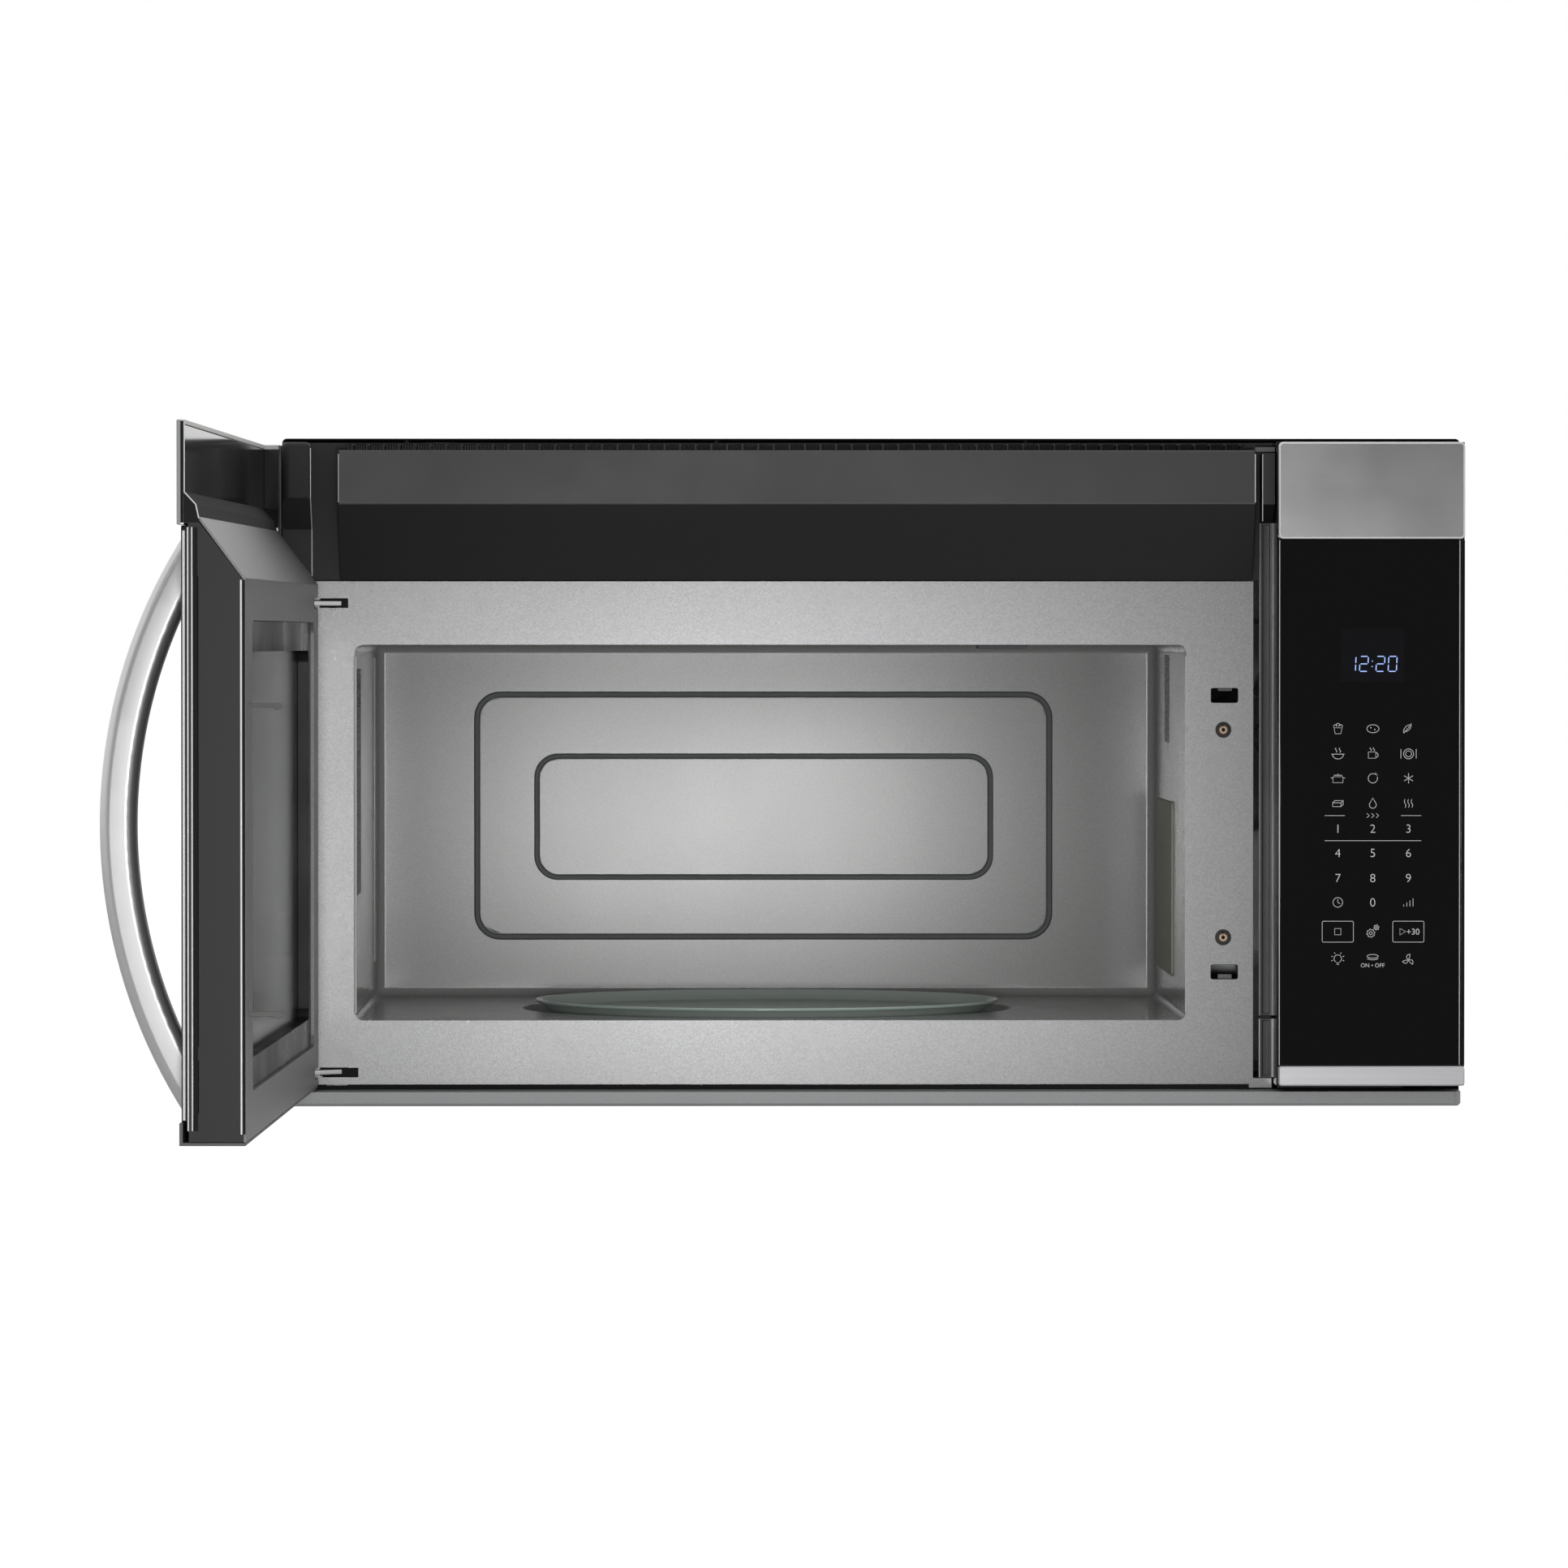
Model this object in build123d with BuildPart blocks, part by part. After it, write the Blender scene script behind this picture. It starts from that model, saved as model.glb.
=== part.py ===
from build123d import *
from math import cos, radians, sin
import os

# Over the range microwave with a hood blower, in millimetres.
# X runs to the right, Y into the wall and Z up. The origin is the middle of the
# lower edge of the rear face. The door is built closed and then swung to the
# open place in which it rests.

os.makedirs("parts", exist_ok=True)

# ---------------------------------------------------------------- cabinet
WIDTH = 760.0
HALF = WIDTH / 2
HEIGHT = 429.6
SHEET = 1.0
REAR_T = 1.2
WRAP_R = 3.0
WRAP_Z0 = 2.0

PAN_HALF = HALF - SHEET
PAN_FRONT = -400.0
PAN_H = 9.4
PAN_T = 1.2
PAN_R = 5.0
PAN_FLANGE = 30.0

FRAME_Y = -374.0
FRAME_T = 1.2
FRAME_BACK = FRAME_Y + FRAME_T
FRAME_LEFT = -379.6
FRAME_RIGHT = 246.9
FRAME_Z0 = 12.5
FRAME_Z1 = 337.8

# ---------------------------------------------------------------- cavity
CAV_LEFT = -333.0
CAV_RIGHT = 203.0
CAV_Z0 = 54.4
CAV_Z1 = 296.4
CAV_T = 1.0
CAV_R = 5.0
CAV_W = CAV_RIGHT - CAV_LEFT
CAV_H = CAV_Z1 - CAV_Z0
CAV_X = (CAV_LEFT + CAV_RIGHT) / 2
CAV_ZM = (CAV_Z0 + CAV_Z1) / 2
CAV_SPLIT_Z = 64.0
BACK_RIM_Y = -20.0
BACK_Y = -9.0
BEAD_DEPTH = 2.0

TRAY_X = -66.0
TRAY_Y = -190.0
TRAY_R = 154.3
TRAY_BOTTOM = 49.4
TRAY_RIM = 60.4
TRAY_T = 4.0
WELL_R = 163.0
WELL_FLOOR = 37.4

# ---------------------------------------------------------------- door
DOOR_FRONT = -414.3
DOOR_T = 39.3
DOOR_LEFT = -380.0
DOOR_RIGHT = 256.6
DOOR_Z0 = 11.4
DOOR_Z1 = 425.3
DOOR_OPEN = 91.2
HINGE_X = -368.5
HINGE_Y = -387.0
HINGE_R = 10.5
GLASS_T0 = 2.5
GLASS_T = 4.0
TRIM_Z0 = 365.3
SILVER_T = 1.5
LATCH_X = 228.1
LATCH_Z = (85.3, 263.9)
HOOK_Z = (84.0, 261.0)
ARM_Z = (21.0, 323.3)
ARM_T = 3.0

# ---------------------------------------------------------------- control panel
PANEL_LEFT = 259.4
PANEL_Z0 = 13.6
PANEL_Z1 = 426.7
PANEL_FACE = DOOR_FRONT + 5.0
TOP_TRIM_Z0 = 364.5
TOP_TRIM_X = 260.2
BOTTOM_TRIM_Z1 = 26.2
BOTTOM_TRIM_X = 260.4
PANEL_GLASS_X = (260.9, 376.8)
PANEL_GLASS_Z = (26.7, 364.0)

# ---------------------------------------------------------------- shared places
FASTENER_X = 227.4
FASTENER_Z = (107.6, 241.7)
ARM_SLOT_X = -346.8
WAVE_Y = -141.0
WAVE_Z = 132.0
VENT_X = -48.0
VENT_Z = 383.0
SEAM_X = (250.6, 259.3)
SEAM_TOP = 375.2
SEAM_BREAK = (55.2, 57.0)

DOOR_AXIS = Axis((HINGE_X, HINGE_Y, 0), (0, 0, 1))


def block(x, y, z, mode=Mode.ADD):
    """A block that spans the (low, high) pairs x, y and z."""
    with Locations(((x[0] + x[1]) / 2, (y[0] + y[1]) / 2, (z[0] + z[1]) / 2)):
        return Box(x[1] - x[0], y[1] - y[0], z[1] - z[0], mode=mode)


def depth(t):
    """The Y place of a point t behind the front plane of the closed door."""
    return DOOR_FRONT + t


def swing_open(piece):
    """Turn a door piece from its closed place to the open place it rests in."""
    piece.part = piece.part.rotate(DOOR_AXIS, -DOOR_OPEN)


def edge_at(piece, x, y):
    """The upright edges of a piece that stand at the place x, y."""
    return piece.edges().filter_by(
        lambda e: abs(e.center().X - x) < 0.1 and abs(e.center().Y - y) < 0.1
    )


# ======================================================================
# Cabinet shell
# ======================================================================
DUCT_W = 254.0
DUCT_D = 83.0
DUCT_Y = -56.0
BOLT_X = 280.0
BOLT_Y = -300.0
BOLT_R = 3.6
CORD_X = 300.0
CORD_Y = -60.0
GLAND_R = 9.5
TAB_X = 200.0
TAB_Z = 30.0
SCREW_PLACES = [(-300.0, -362.0), (-100.0, -362.0), (100.0, -362.0), (300.0, -362.0)]

with BuildPart() as outer_wrap:
    with BuildSketch(Plane.XZ.offset(REAR_T)):
        with Locations((0, 0)):
            RectangleRounded(WIDTH, HEIGHT, WRAP_R, align=(Align.CENTER, Align.MIN))
            Rectangle(WIDTH, WRAP_Z0, align=(Align.CENTER, Align.MIN), mode=Mode.SUBTRACT)
        with Locations((0, -10)):
            RectangleRounded(
                WIDTH - 2 * SHEET,
                HEIGHT - SHEET + 10,
                WRAP_R - SHEET,
                align=(Align.CENTER, Align.MIN),
                mode=Mode.SUBTRACT,
            )
    extrude(amount=-FRAME_BACK - REAR_T)
    with BuildSketch(Plane.XY.offset(HEIGHT)):
        with Locations((0, DUCT_Y)):
            Rectangle(DUCT_W, DUCT_D)
        with Locations((-BOLT_X, BOLT_Y), (BOLT_X, BOLT_Y)):
            Circle(BOLT_R)
        with Locations((CORD_X, CORD_Y)):
            Circle(GLAND_R + 0.1)
        with Locations(*SCREW_PLACES):
            Circle(2.2)
    extrude(amount=-2 * SHEET, mode=Mode.SUBTRACT)
    for x, y in SCREW_PLACES:
        with Locations((x, y, HEIGHT - SHEET / 2)):
            Cone(2.2, 4.4, SHEET, mode=Mode.SUBTRACT)
outer_wrap.part.label = "outer_wrap"
export_step(outer_wrap.part, "parts/outer_wrap.step")

with BuildPart() as rear_panel:
    with BuildSketch(Plane.XZ):
        with Locations((0, HEIGHT / 2)):
            RectangleRounded(WIDTH, HEIGHT, WRAP_R)
        with Locations((-TAB_X, TAB_Z), (TAB_X, TAB_Z)):
            SlotOverall(30, 6, mode=Mode.SUBTRACT)
    extrude(amount=REAR_T)
rear_panel.part.label = "rear_panel"
export_step(rear_panel.part, "parts/rear_panel.step")

FILTER_X = 175.0
FILTER_W = 130.0
FILTER_D = 230.0
FILTER_Y = -215.0
FILTER_GAP = 0.6
LAMP_W = 96.0
LAMP_D = 44.0
LAMP_Y = -344.0
INTAKE_X = 320.0

with BuildPart() as base_pan:
    with BuildSketch(Plane.XY):
        with Locations((0, (PAN_FRONT - REAR_T) / 2)):
            RectangleRounded(2 * PAN_HALF, -REAR_T - PAN_FRONT, PAN_R)
    extrude(amount=PAN_H)
    chamfer(base_pan.faces().sort_by(Axis.Z)[0].edges(), length=1.6)
    offset(amount=-PAN_T, openings=base_pan.faces().sort_by(Axis.Z)[-1])
    with BuildSketch(Plane.XY):
        with Locations((-FILTER_X, FILTER_Y), (FILTER_X, FILTER_Y)):
            RectangleRounded(FILTER_W + 2 * FILTER_GAP, FILTER_D + 2 * FILTER_GAP, 6)
        with Locations((0, LAMP_Y)):
            RectangleRounded(LAMP_W + 1.2, LAMP_D + 1.2, 4)
        with GridLocations(0, 14, 1, 9):
            with Locations((INTAKE_X, -160)):
                SlotOverall(70, 5)
    extrude(amount=PAN_T * 2, mode=Mode.SUBTRACT)
    # flange behind the front rim
    with BuildSketch(Plane.XY.offset(PAN_H - PAN_T)):
        with Locations((0, PAN_FRONT + PAN_T / 2 + PAN_FLANGE / 2)):
            RectangleRounded(2 * PAN_HALF - PAN_T, PAN_FLANGE, PAN_R - PAN_T / 2)
    extrude(amount=PAN_T)
base_pan.part.label = "base_pan"
export_step(base_pan.part, "parts/base_pan.step")

# ======================================================================
# Face frame and cavity
# ======================================================================
with BuildPart() as front_frame:
    with BuildSketch(Plane.XZ.offset(-FRAME_BACK)):
        with Locations(((FRAME_LEFT + FRAME_RIGHT) / 2, (FRAME_Z0 + FRAME_Z1) / 2)):
            Rectangle(FRAME_RIGHT - FRAME_LEFT, FRAME_Z1 - FRAME_Z0)
        # foot plate that reaches under the trim strip
        with Locations((FRAME_RIGHT - 3, 10.2)):
            Rectangle(15, 6.6, align=(Align.MIN, Align.MIN))
        with Locations((CAV_X, CAV_ZM)):
            RectangleRounded(CAV_W, CAV_H, CAV_R, mode=Mode.SUBTRACT)
        # slots for the hinge arms
        with Locations((ARM_SLOT_X, ARM_Z[0]), (ARM_SLOT_X, ARM_Z[1])):
            Rectangle(18, 5, mode=Mode.SUBTRACT)
        # slots for the door hooks
        with Locations((LATCH_X, LATCH_Z[0]), (LATCH_X, LATCH_Z[1])):
            RectangleRounded(17.3, 9.3, 1.2, mode=Mode.SUBTRACT)
        # clearance round the two fasteners
        with Locations((FASTENER_X, FASTENER_Z[0]), (FASTENER_X, FASTENER_Z[1])):
            Circle(5.0, mode=Mode.SUBTRACT)
    extrude(amount=FRAME_T)
front_frame.part.label = "front_frame"
export_step(front_frame.part, "parts/front_frame.step")

WINDOW_Y = (-228.0, -54.0)
WINDOW_Z = (83.0, 186.0)

with BuildPart() as cavity_wrap:
    with BuildSketch(Plane.XZ.offset(-BACK_RIM_Y)):
        with Locations((CAV_X, CAV_ZM)):
            RectangleRounded(CAV_W + 2 * CAV_T, CAV_H + 2 * CAV_T, CAV_R + CAV_T)
            RectangleRounded(CAV_W, CAV_H, CAV_R, mode=Mode.SUBTRACT)
        with Locations((CAV_X, CAV_SPLIT_Z)):
            Rectangle(CAV_W + 10, 30, align=(Align.CENTER, Align.MAX), mode=Mode.SUBTRACT)
    extrude(amount=BACK_RIM_Y - FRAME_BACK)
    # wave inlet in the right wall
    block((CAV_RIGHT - 2, CAV_RIGHT + 2), WINDOW_Y, WINDOW_Z, mode=Mode.SUBTRACT)
cavity_wrap.part.label = "cavity_wrap"
export_step(cavity_wrap.part, "parts/cavity_wrap.step")

with BuildPart() as cavity_floor:
    with BuildSketch(Plane.XZ.offset(-BACK_RIM_Y)):
        with Locations((CAV_X, CAV_ZM)):
            RectangleRounded(CAV_W + 2 * CAV_T, CAV_H + 2 * CAV_T, CAV_R + CAV_T)
            RectangleRounded(CAV_W, CAV_H, CAV_R, mode=Mode.SUBTRACT)
        with Locations((CAV_X, CAV_SPLIT_Z)):
            Rectangle(CAV_W + 10, 300, align=(Align.CENTER, Align.MIN), mode=Mode.SUBTRACT)
    extrude(amount=BACK_RIM_Y - FRAME_BACK)
    with Locations((TRAY_X, TRAY_Y, CAV_Z0 - CAV_T / 2)):
        Cylinder(WELL_R, 3, mode=Mode.SUBTRACT)
    # round well that takes the roller ring and the lower half of the tray
    with BuildSketch(Plane.XZ.offset(-TRAY_Y)):
        with BuildLine():
            Polyline(
                (TRAY_X + 9, WELL_FLOOR - 1),
                (TRAY_X + 158.6, WELL_FLOOR - 1),
                (TRAY_X + WELL_R + 1, CAV_Z0 - CAV_T),
                (TRAY_X + WELL_R + 1, CAV_Z0),
                (TRAY_X + WELL_R, CAV_Z0),
                (TRAY_X + 158, WELL_FLOOR),
                (TRAY_X + 9, WELL_FLOOR),
                close=True,
            )
        make_face()
    revolve(axis=Axis((TRAY_X, TRAY_Y, 0), (0, 0, 1)), revolution_arc=360)
cavity_floor.part.label = "cavity_floor"
export_step(cavity_floor.part, "parts/cavity_floor.step")

# pressed rings in the rear wall: (low X, high X, low Z, high Z, groove, corner radius)
RINGS = [
    (-266.0, 132.4, 93.2, 264.2, 4.8, 18.0),
    (-224.6, 91.6, 134.4, 221.6, 4.2, 16.5),
]

with BuildPart() as cavity_back:
    with BuildSketch(Plane.XZ.offset(-BACK_Y - CAV_T)):
        with Locations((CAV_X, CAV_ZM)):
            RectangleRounded(CAV_W + 2 * CAV_T, CAV_H + 2 * CAV_T, CAV_R + CAV_T)
    extrude(amount=12)
    fillet(cavity_back.faces().sort_by(Axis.Y)[-1].edges(), radius=7)
    offset(amount=-CAV_T, openings=cavity_back.faces().sort_by(Axis.Y)[0])
    for x0, x1, z0, z1, groove, corner in RINGS:
        with BuildSketch(Plane.XZ.offset(-BACK_Y - BEAD_DEPTH - CAV_T)):
            with Locations(((x0 + x1) / 2, (z0 + z1) / 2)):
                RectangleRounded(x1 - x0 + 2, z1 - z0 + 2, corner + 1)
                RectangleRounded(
                    x1 - x0 - 2 * groove - 2,
                    z1 - z0 - 2 * groove - 2,
                    corner - groove,
                    mode=Mode.SUBTRACT,
                )
        extrude(amount=BEAD_DEPTH)
        with BuildSketch(Plane.XZ.offset(-BACK_Y - BEAD_DEPTH)):
            with Locations(((x0 + x1) / 2, (z0 + z1) / 2)):
                RectangleRounded(x1 - x0, z1 - z0, corner)
                RectangleRounded(
                    x1 - x0 - 2 * groove,
                    z1 - z0 - 2 * groove,
                    corner - groove,
                    mode=Mode.SUBTRACT,
                )
        extrude(amount=BEAD_DEPTH + 1, mode=Mode.SUBTRACT)
cavity_back.part.label = "cavity_back"
export_step(cavity_back.part, "parts/cavity_back.step")

with BuildPart() as waveguide_cover:
    with BuildSketch(Plane.YZ.offset(CAV_RIGHT - 1.2)):
        with Locations((WAVE_Y, WAVE_Z + 2.5)):
            RectangleRounded(186, 115, 3)
    extrude(amount=1.2)
waveguide_cover.part.label = "waveguide_cover"
export_step(waveguide_cover.part, "parts/waveguide_cover.step")

# ======================================================================
# Vent above the cavity
# ======================================================================
VENT_Z0 = 338.2
GRILLE_LEFT = -342.7
GRILLE_RIGHT = 246.1
GRILLE_FRONT = -402.0
GRILLE_FOLD_Z = 386.6
GRILLE_TOP = 421.5
RIB_COUNT = 58
RIB_PITCH = 10.0

with BuildPart() as vent_panel:
    with BuildSketch(Plane.XZ.offset(-FRAME_BACK)):
        with Locations((FRAME_LEFT, VENT_Z0)):
            Rectangle(PANEL_LEFT - FRAME_LEFT, 88.6, align=(Align.MIN, Align.MIN))
        with Locations((VENT_X, VENT_Z)):
            RectangleRounded(560, 60, 6, mode=Mode.SUBTRACT)
        # room for the trim strip, which runs on up to the filler
        with Locations((SEAM_X[0] - 0.3, SEAM_TOP + 0.2)):
            Rectangle(20, 60, align=(Align.MIN, Align.MAX), mode=Mode.SUBTRACT)
    extrude(amount=FRAME_T)
vent_panel.part.label = "vent_panel"
export_step(vent_panel.part, "parts/vent_panel.step")

with BuildPart() as vent_grille:
    with BuildSketch(Plane.YZ.offset(GRILLE_LEFT)):
        with BuildLine():
            Polyline(
                (FRAME_Y, VENT_Z0),
                (FRAME_Y - 1.6, VENT_Z0),
                (GRILLE_FRONT, GRILLE_FOLD_Z),
                (GRILLE_FRONT, GRILLE_TOP),
                (FRAME_Y, GRILLE_TOP),
                close=True,
            )
        make_face()
    extrude(amount=GRILLE_RIGHT - GRILLE_LEFT)
    offset(amount=-2, openings=vent_grille.faces().sort_by(Axis.Y)[-1])
    # outlet along the top, with a comb of ribs across it
    block((GRILLE_LEFT + 6, GRILLE_RIGHT - 6), (-396, -380), (418, 424), mode=Mode.SUBTRACT)
    with Locations(((GRILLE_LEFT + GRILLE_RIGHT) / 2, -389, 422.5)):
        with GridLocations(RIB_PITCH, 0, RIB_COUNT, 1):
            Box(1.6, 18, 6)
vent_grille.part.label = "vent_grille"
export_step(vent_grille.part, "parts/vent_grille.step")

with BuildPart() as grille_end_cap:
    with BuildSketch(Plane.YZ.offset(FRAME_LEFT)):
        with BuildLine():
            Polyline(
                (FRAME_Y, 426.8),
                (-396, 426.8),
                (-396, 391),
                (FRAME_Y - 0.8, 371),
                (FRAME_Y, 371),
                close=True,
            )
        make_face()
    extrude(amount=18.6)
    fillet(edge_at(grille_end_cap, FRAME_LEFT, -396), radius=6)
    fillet(edge_at(grille_end_cap, FRAME_LEFT + 18.6, -396), radius=2)
    fillet(grille_end_cap.edges().filter_by(Axis.Y).sort_by(Axis.Z)[-2:], radius=3)
grille_end_cap.part.label = "grille_end_cap"
export_step(grille_end_cap.part, "parts/grille_end_cap.step")

with BuildPart() as charcoal_filter:
    with BuildSketch(Plane.XZ.offset(-FRAME_BACK - 14)):
        with Locations((VENT_X, VENT_Z)):
            RectangleRounded(572, 72, 4)
    extrude(amount=14)
charcoal_filter.part.label = "charcoal_filter"
export_step(charcoal_filter.part, "parts/charcoal_filter.step")

with BuildPart() as seam_filler:
    with BuildSketch(Plane.YZ.offset(SEAM_X[0])):
        with BuildLine():
            Polyline(
                (FRAME_Y, SEAM_TOP + 0.4),
                (FRAME_Y - 2, SEAM_TOP + 0.4),
                (-401.4, GRILLE_FOLD_Z),
                (-401.4, 419.6),
                (FRAME_Y, 419.6),
                close=True,
            )
        make_face()
    extrude(amount=8.4)
seam_filler.part.label = "seam_filler"
export_step(seam_filler.part, "parts/seam_filler.step")

with BuildPart() as seam_strip:
    for z0, z1 in ((16.9, SEAM_BREAK[0]), (SEAM_BREAK[1], SEAM_TOP)):
        block(SEAM_X, (-373.7, -371.2), (z0, z1))
        block((252.8, 257.2), (-374.0, -372.9), (z0 + 1.5, z1 - 1.5), mode=Mode.SUBTRACT)
seam_strip.part.label = "seam_strip"
export_step(seam_strip.part, "parts/seam_strip.step")

# ======================================================================
# Control panel
# ======================================================================
DISPLAY_X = (300.0, 341.0)
DISPLAY_Z = (273.0, 307.0)

with BuildPart() as panel_housing:
    with BuildSketch(Plane.XZ.offset(-FRAME_BACK)):
        with Locations(((PANEL_LEFT + HALF) / 2, (PANEL_Z0 + PANEL_Z1) / 2)):
            Rectangle(HALF - PANEL_LEFT, PANEL_Z1 - PANEL_Z0)
    extrude(amount=FRAME_BACK - PANEL_FACE)
    offset(amount=-2, openings=panel_housing.faces().sort_by(Axis.Y)[-1])
    block(DISPLAY_X, (PANEL_FACE - 1, PANEL_FACE + 3), DISPLAY_Z, mode=Mode.SUBTRACT)
    # posts that carry the board
    with BuildSketch(Plane.XZ.offset(-PANEL_FACE - 2)):
        with Locations((320, 150)):
            with GridLocations(84, 160, 2, 2):
                Circle(3)
    extrude(amount=-16)
    # light edge trim at the right of the glass
    block((377.2, HALF), (PANEL_FACE - 2.6, PANEL_FACE), (26.6, 364.0))
panel_housing.part.label = "panel_housing"
export_step(panel_housing.part, "parts/panel_housing.step")

with BuildPart() as panel_top_trim:
    with BuildSketch(Plane.XZ.offset(-PANEL_FACE)):
        with Locations(((TOP_TRIM_X + HALF) / 2, (TOP_TRIM_Z0 + PANEL_Z1) / 2)):
            RectangleRounded(HALF - TOP_TRIM_X, PANEL_Z1 - TOP_TRIM_Z0, 3)
    extrude(amount=5)
    fillet(panel_top_trim.faces().sort_by(Axis.Y)[0].edges(), radius=1.6)
    offset(amount=-1, openings=panel_top_trim.faces().sort_by(Axis.Y)[-1])
panel_top_trim.part.label = "panel_top_trim"
export_step(panel_top_trim.part, "parts/panel_top_trim.step")

with BuildPart() as panel_glass:
    with BuildSketch(Plane.XZ.offset(-PANEL_FACE)):
        with Locations((sum(PANEL_GLASS_X) / 2, sum(PANEL_GLASS_Z) / 2)):
            RectangleRounded(
                PANEL_GLASS_X[1] - PANEL_GLASS_X[0], PANEL_GLASS_Z[1] - PANEL_GLASS_Z[0], 1
            )
    extrude(amount=3.5)
    chamfer(panel_glass.faces().sort_by(Axis.Y)[0].edges(), length=0.5)
panel_glass.part.label = "panel_glass"
export_step(panel_glass.part, "parts/panel_glass.step")

with BuildPart() as panel_bottom_trim:
    with BuildSketch(Plane.XZ.offset(-PANEL_FACE)):
        with Locations(((BOTTOM_TRIM_X + HALF) / 2, (PANEL_Z0 + BOTTOM_TRIM_Z1) / 2)):
            RectangleRounded(HALF - BOTTOM_TRIM_X, BOTTOM_TRIM_Z1 - PANEL_Z0, 3)
    extrude(amount=4.6)
    fillet(panel_bottom_trim.faces().sort_by(Axis.Y)[0].edges(), radius=1.4)
    offset(amount=-1, openings=panel_bottom_trim.faces().sort_by(Axis.Y)[-1])
panel_bottom_trim.part.label = "panel_bottom_trim"
export_step(panel_bottom_trim.part, "parts/panel_bottom_trim.step")

with BuildPart() as display_module:
    block((296, 345), (PANEL_FACE + 2, PANEL_FACE + 10), (269, 311))
    block((300.3, 340.7), (PANEL_FACE + 0.2, PANEL_FACE + 2), (273.3, 306.7))
display_module.part.label = "display_module"
export_step(display_module.part, "parts/display_module.step")

with BuildPart() as control_board:
    block((272, 368), (PANEL_FACE + 18, PANEL_FACE + 19.6), (60, 240))
    # relays and the small transformer
    block((280, 302), (PANEL_FACE + 19.6, PANEL_FACE + 33), (190, 216))
    block((308, 328), (PANEL_FACE + 19.6, PANEL_FACE + 33), (190, 208))
    block((290, 330), (PANEL_FACE + 19.6, PANEL_FACE + 34), (84, 120))
    with BuildSketch(Plane.XZ.offset(-PANEL_FACE - 19.6)):
        with Locations((348, 150), (348, 172)):
            Circle(6)
    extrude(amount=-13)
control_board.part.label = "control_board"
export_step(control_board.part, "parts/control_board.step")

# ======================================================================
# Catch and switches behind the face frame
# ======================================================================
with BuildPart() as latch_board:
    block((208, 245), (FRAME_BACK, FRAME_BACK + 2.5), (70, 280))
    for zc, hook in zip(LATCH_Z, HOOK_Z):
        slot_y = (FRAME_BACK - 1, FRAME_BACK + 4)
        block((LATCH_X - 9, LATCH_X + 9), slot_y, (zc - 5, zc + 5), mode=Mode.SUBTRACT)
        # ramp over which the hook climbs before it drops behind the edge
        with BuildSketch(Plane.YZ.offset(LATCH_X - 12)):
            with BuildLine():
                Polyline(
                    (FRAME_BACK + 2, zc - 14),
                    (FRAME_BACK + 2, zc - 5),
                    (FRAME_BACK + 10, hook - 0.4),
                    (FRAME_BACK + 11, hook - 0.4),
                    (FRAME_BACK + 11, zc - 14),
                    close=True,
                )
            make_face()
        extrude(amount=24)
    with BuildSketch(Plane.XZ.offset(-FRAME_BACK)):
        with Locations((FASTENER_X, FASTENER_Z[0]), (FASTENER_X, FASTENER_Z[1])):
            Circle(2.1)
    extrude(amount=-3, mode=Mode.SUBTRACT)
latch_board.part.label = "latch_board"
export_step(latch_board.part, "parts/latch_board.step")

with BuildPart() as interlock_switches:
    for z in (128.0, 160.0, 206.0):
        block((213, 241), (FRAME_BACK + 2.5, FRAME_BACK + 13), (z, z + 16))
interlock_switches.part.label = "interlock_switches"
export_step(interlock_switches.part, "parts/interlock_switches.step")

with BuildPart() as latch_screws:
    for z in FASTENER_Z:
        with Locations((FASTENER_X, (FRAME_Y + FRAME_BACK) / 2, z)):
            Cylinder(3.9, FRAME_T, rotation=(90, 0, 0))
            Cylinder(1.5, 2 * FRAME_T, rotation=(90, 0, 0), mode=Mode.SUBTRACT)
        with Locations((FASTENER_X, FRAME_BACK + 3, z)):
            Cylinder(2.0, 6, rotation=(90, 0, 0))
latch_screws.part.label = "latch_screws"
export_step(latch_screws.part, "parts/latch_screws.step")

with BuildPart() as hinge_arms:
    for z in ARM_Z:
        with BuildSketch(Plane.XY.offset(z - ARM_T / 2)):
            with Locations((HINGE_X, HINGE_Y)):
                Circle(5.5)
            with Locations((-344.5, FRAME_Y + 2)):
                Circle(3.5)
            make_hull()
            with Locations((HINGE_X, HINGE_Y)):
                Circle(2.55, mode=Mode.SUBTRACT)
        extrude(amount=ARM_T)
        block((-352, -338.5), (FRAME_BACK, FRAME_BACK + 4.8), (z - 11, z + 11))
hinge_arms.part.label = "hinge_arms"
export_step(hinge_arms.part, "parts/hinge_arms.step")

# ======================================================================
# Microwave source and cooling, in the bay behind the control panel
# ======================================================================
with BuildPart() as waveguide:
    block((CAV_RIGHT + CAV_T, 244), (-236, -46), (75, 196))
    offset(amount=-1.2, openings=waveguide.faces().sort_by(Axis.X)[0])
    with BuildSketch(Plane.YZ.offset(240)):
        with Locations((WAVE_Y, WAVE_Z)):
            Circle(9.5)
    extrude(amount=6, mode=Mode.SUBTRACT)
waveguide.part.label = "waveguide"
export_step(waveguide.part, "parts/waveguide.step")

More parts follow.
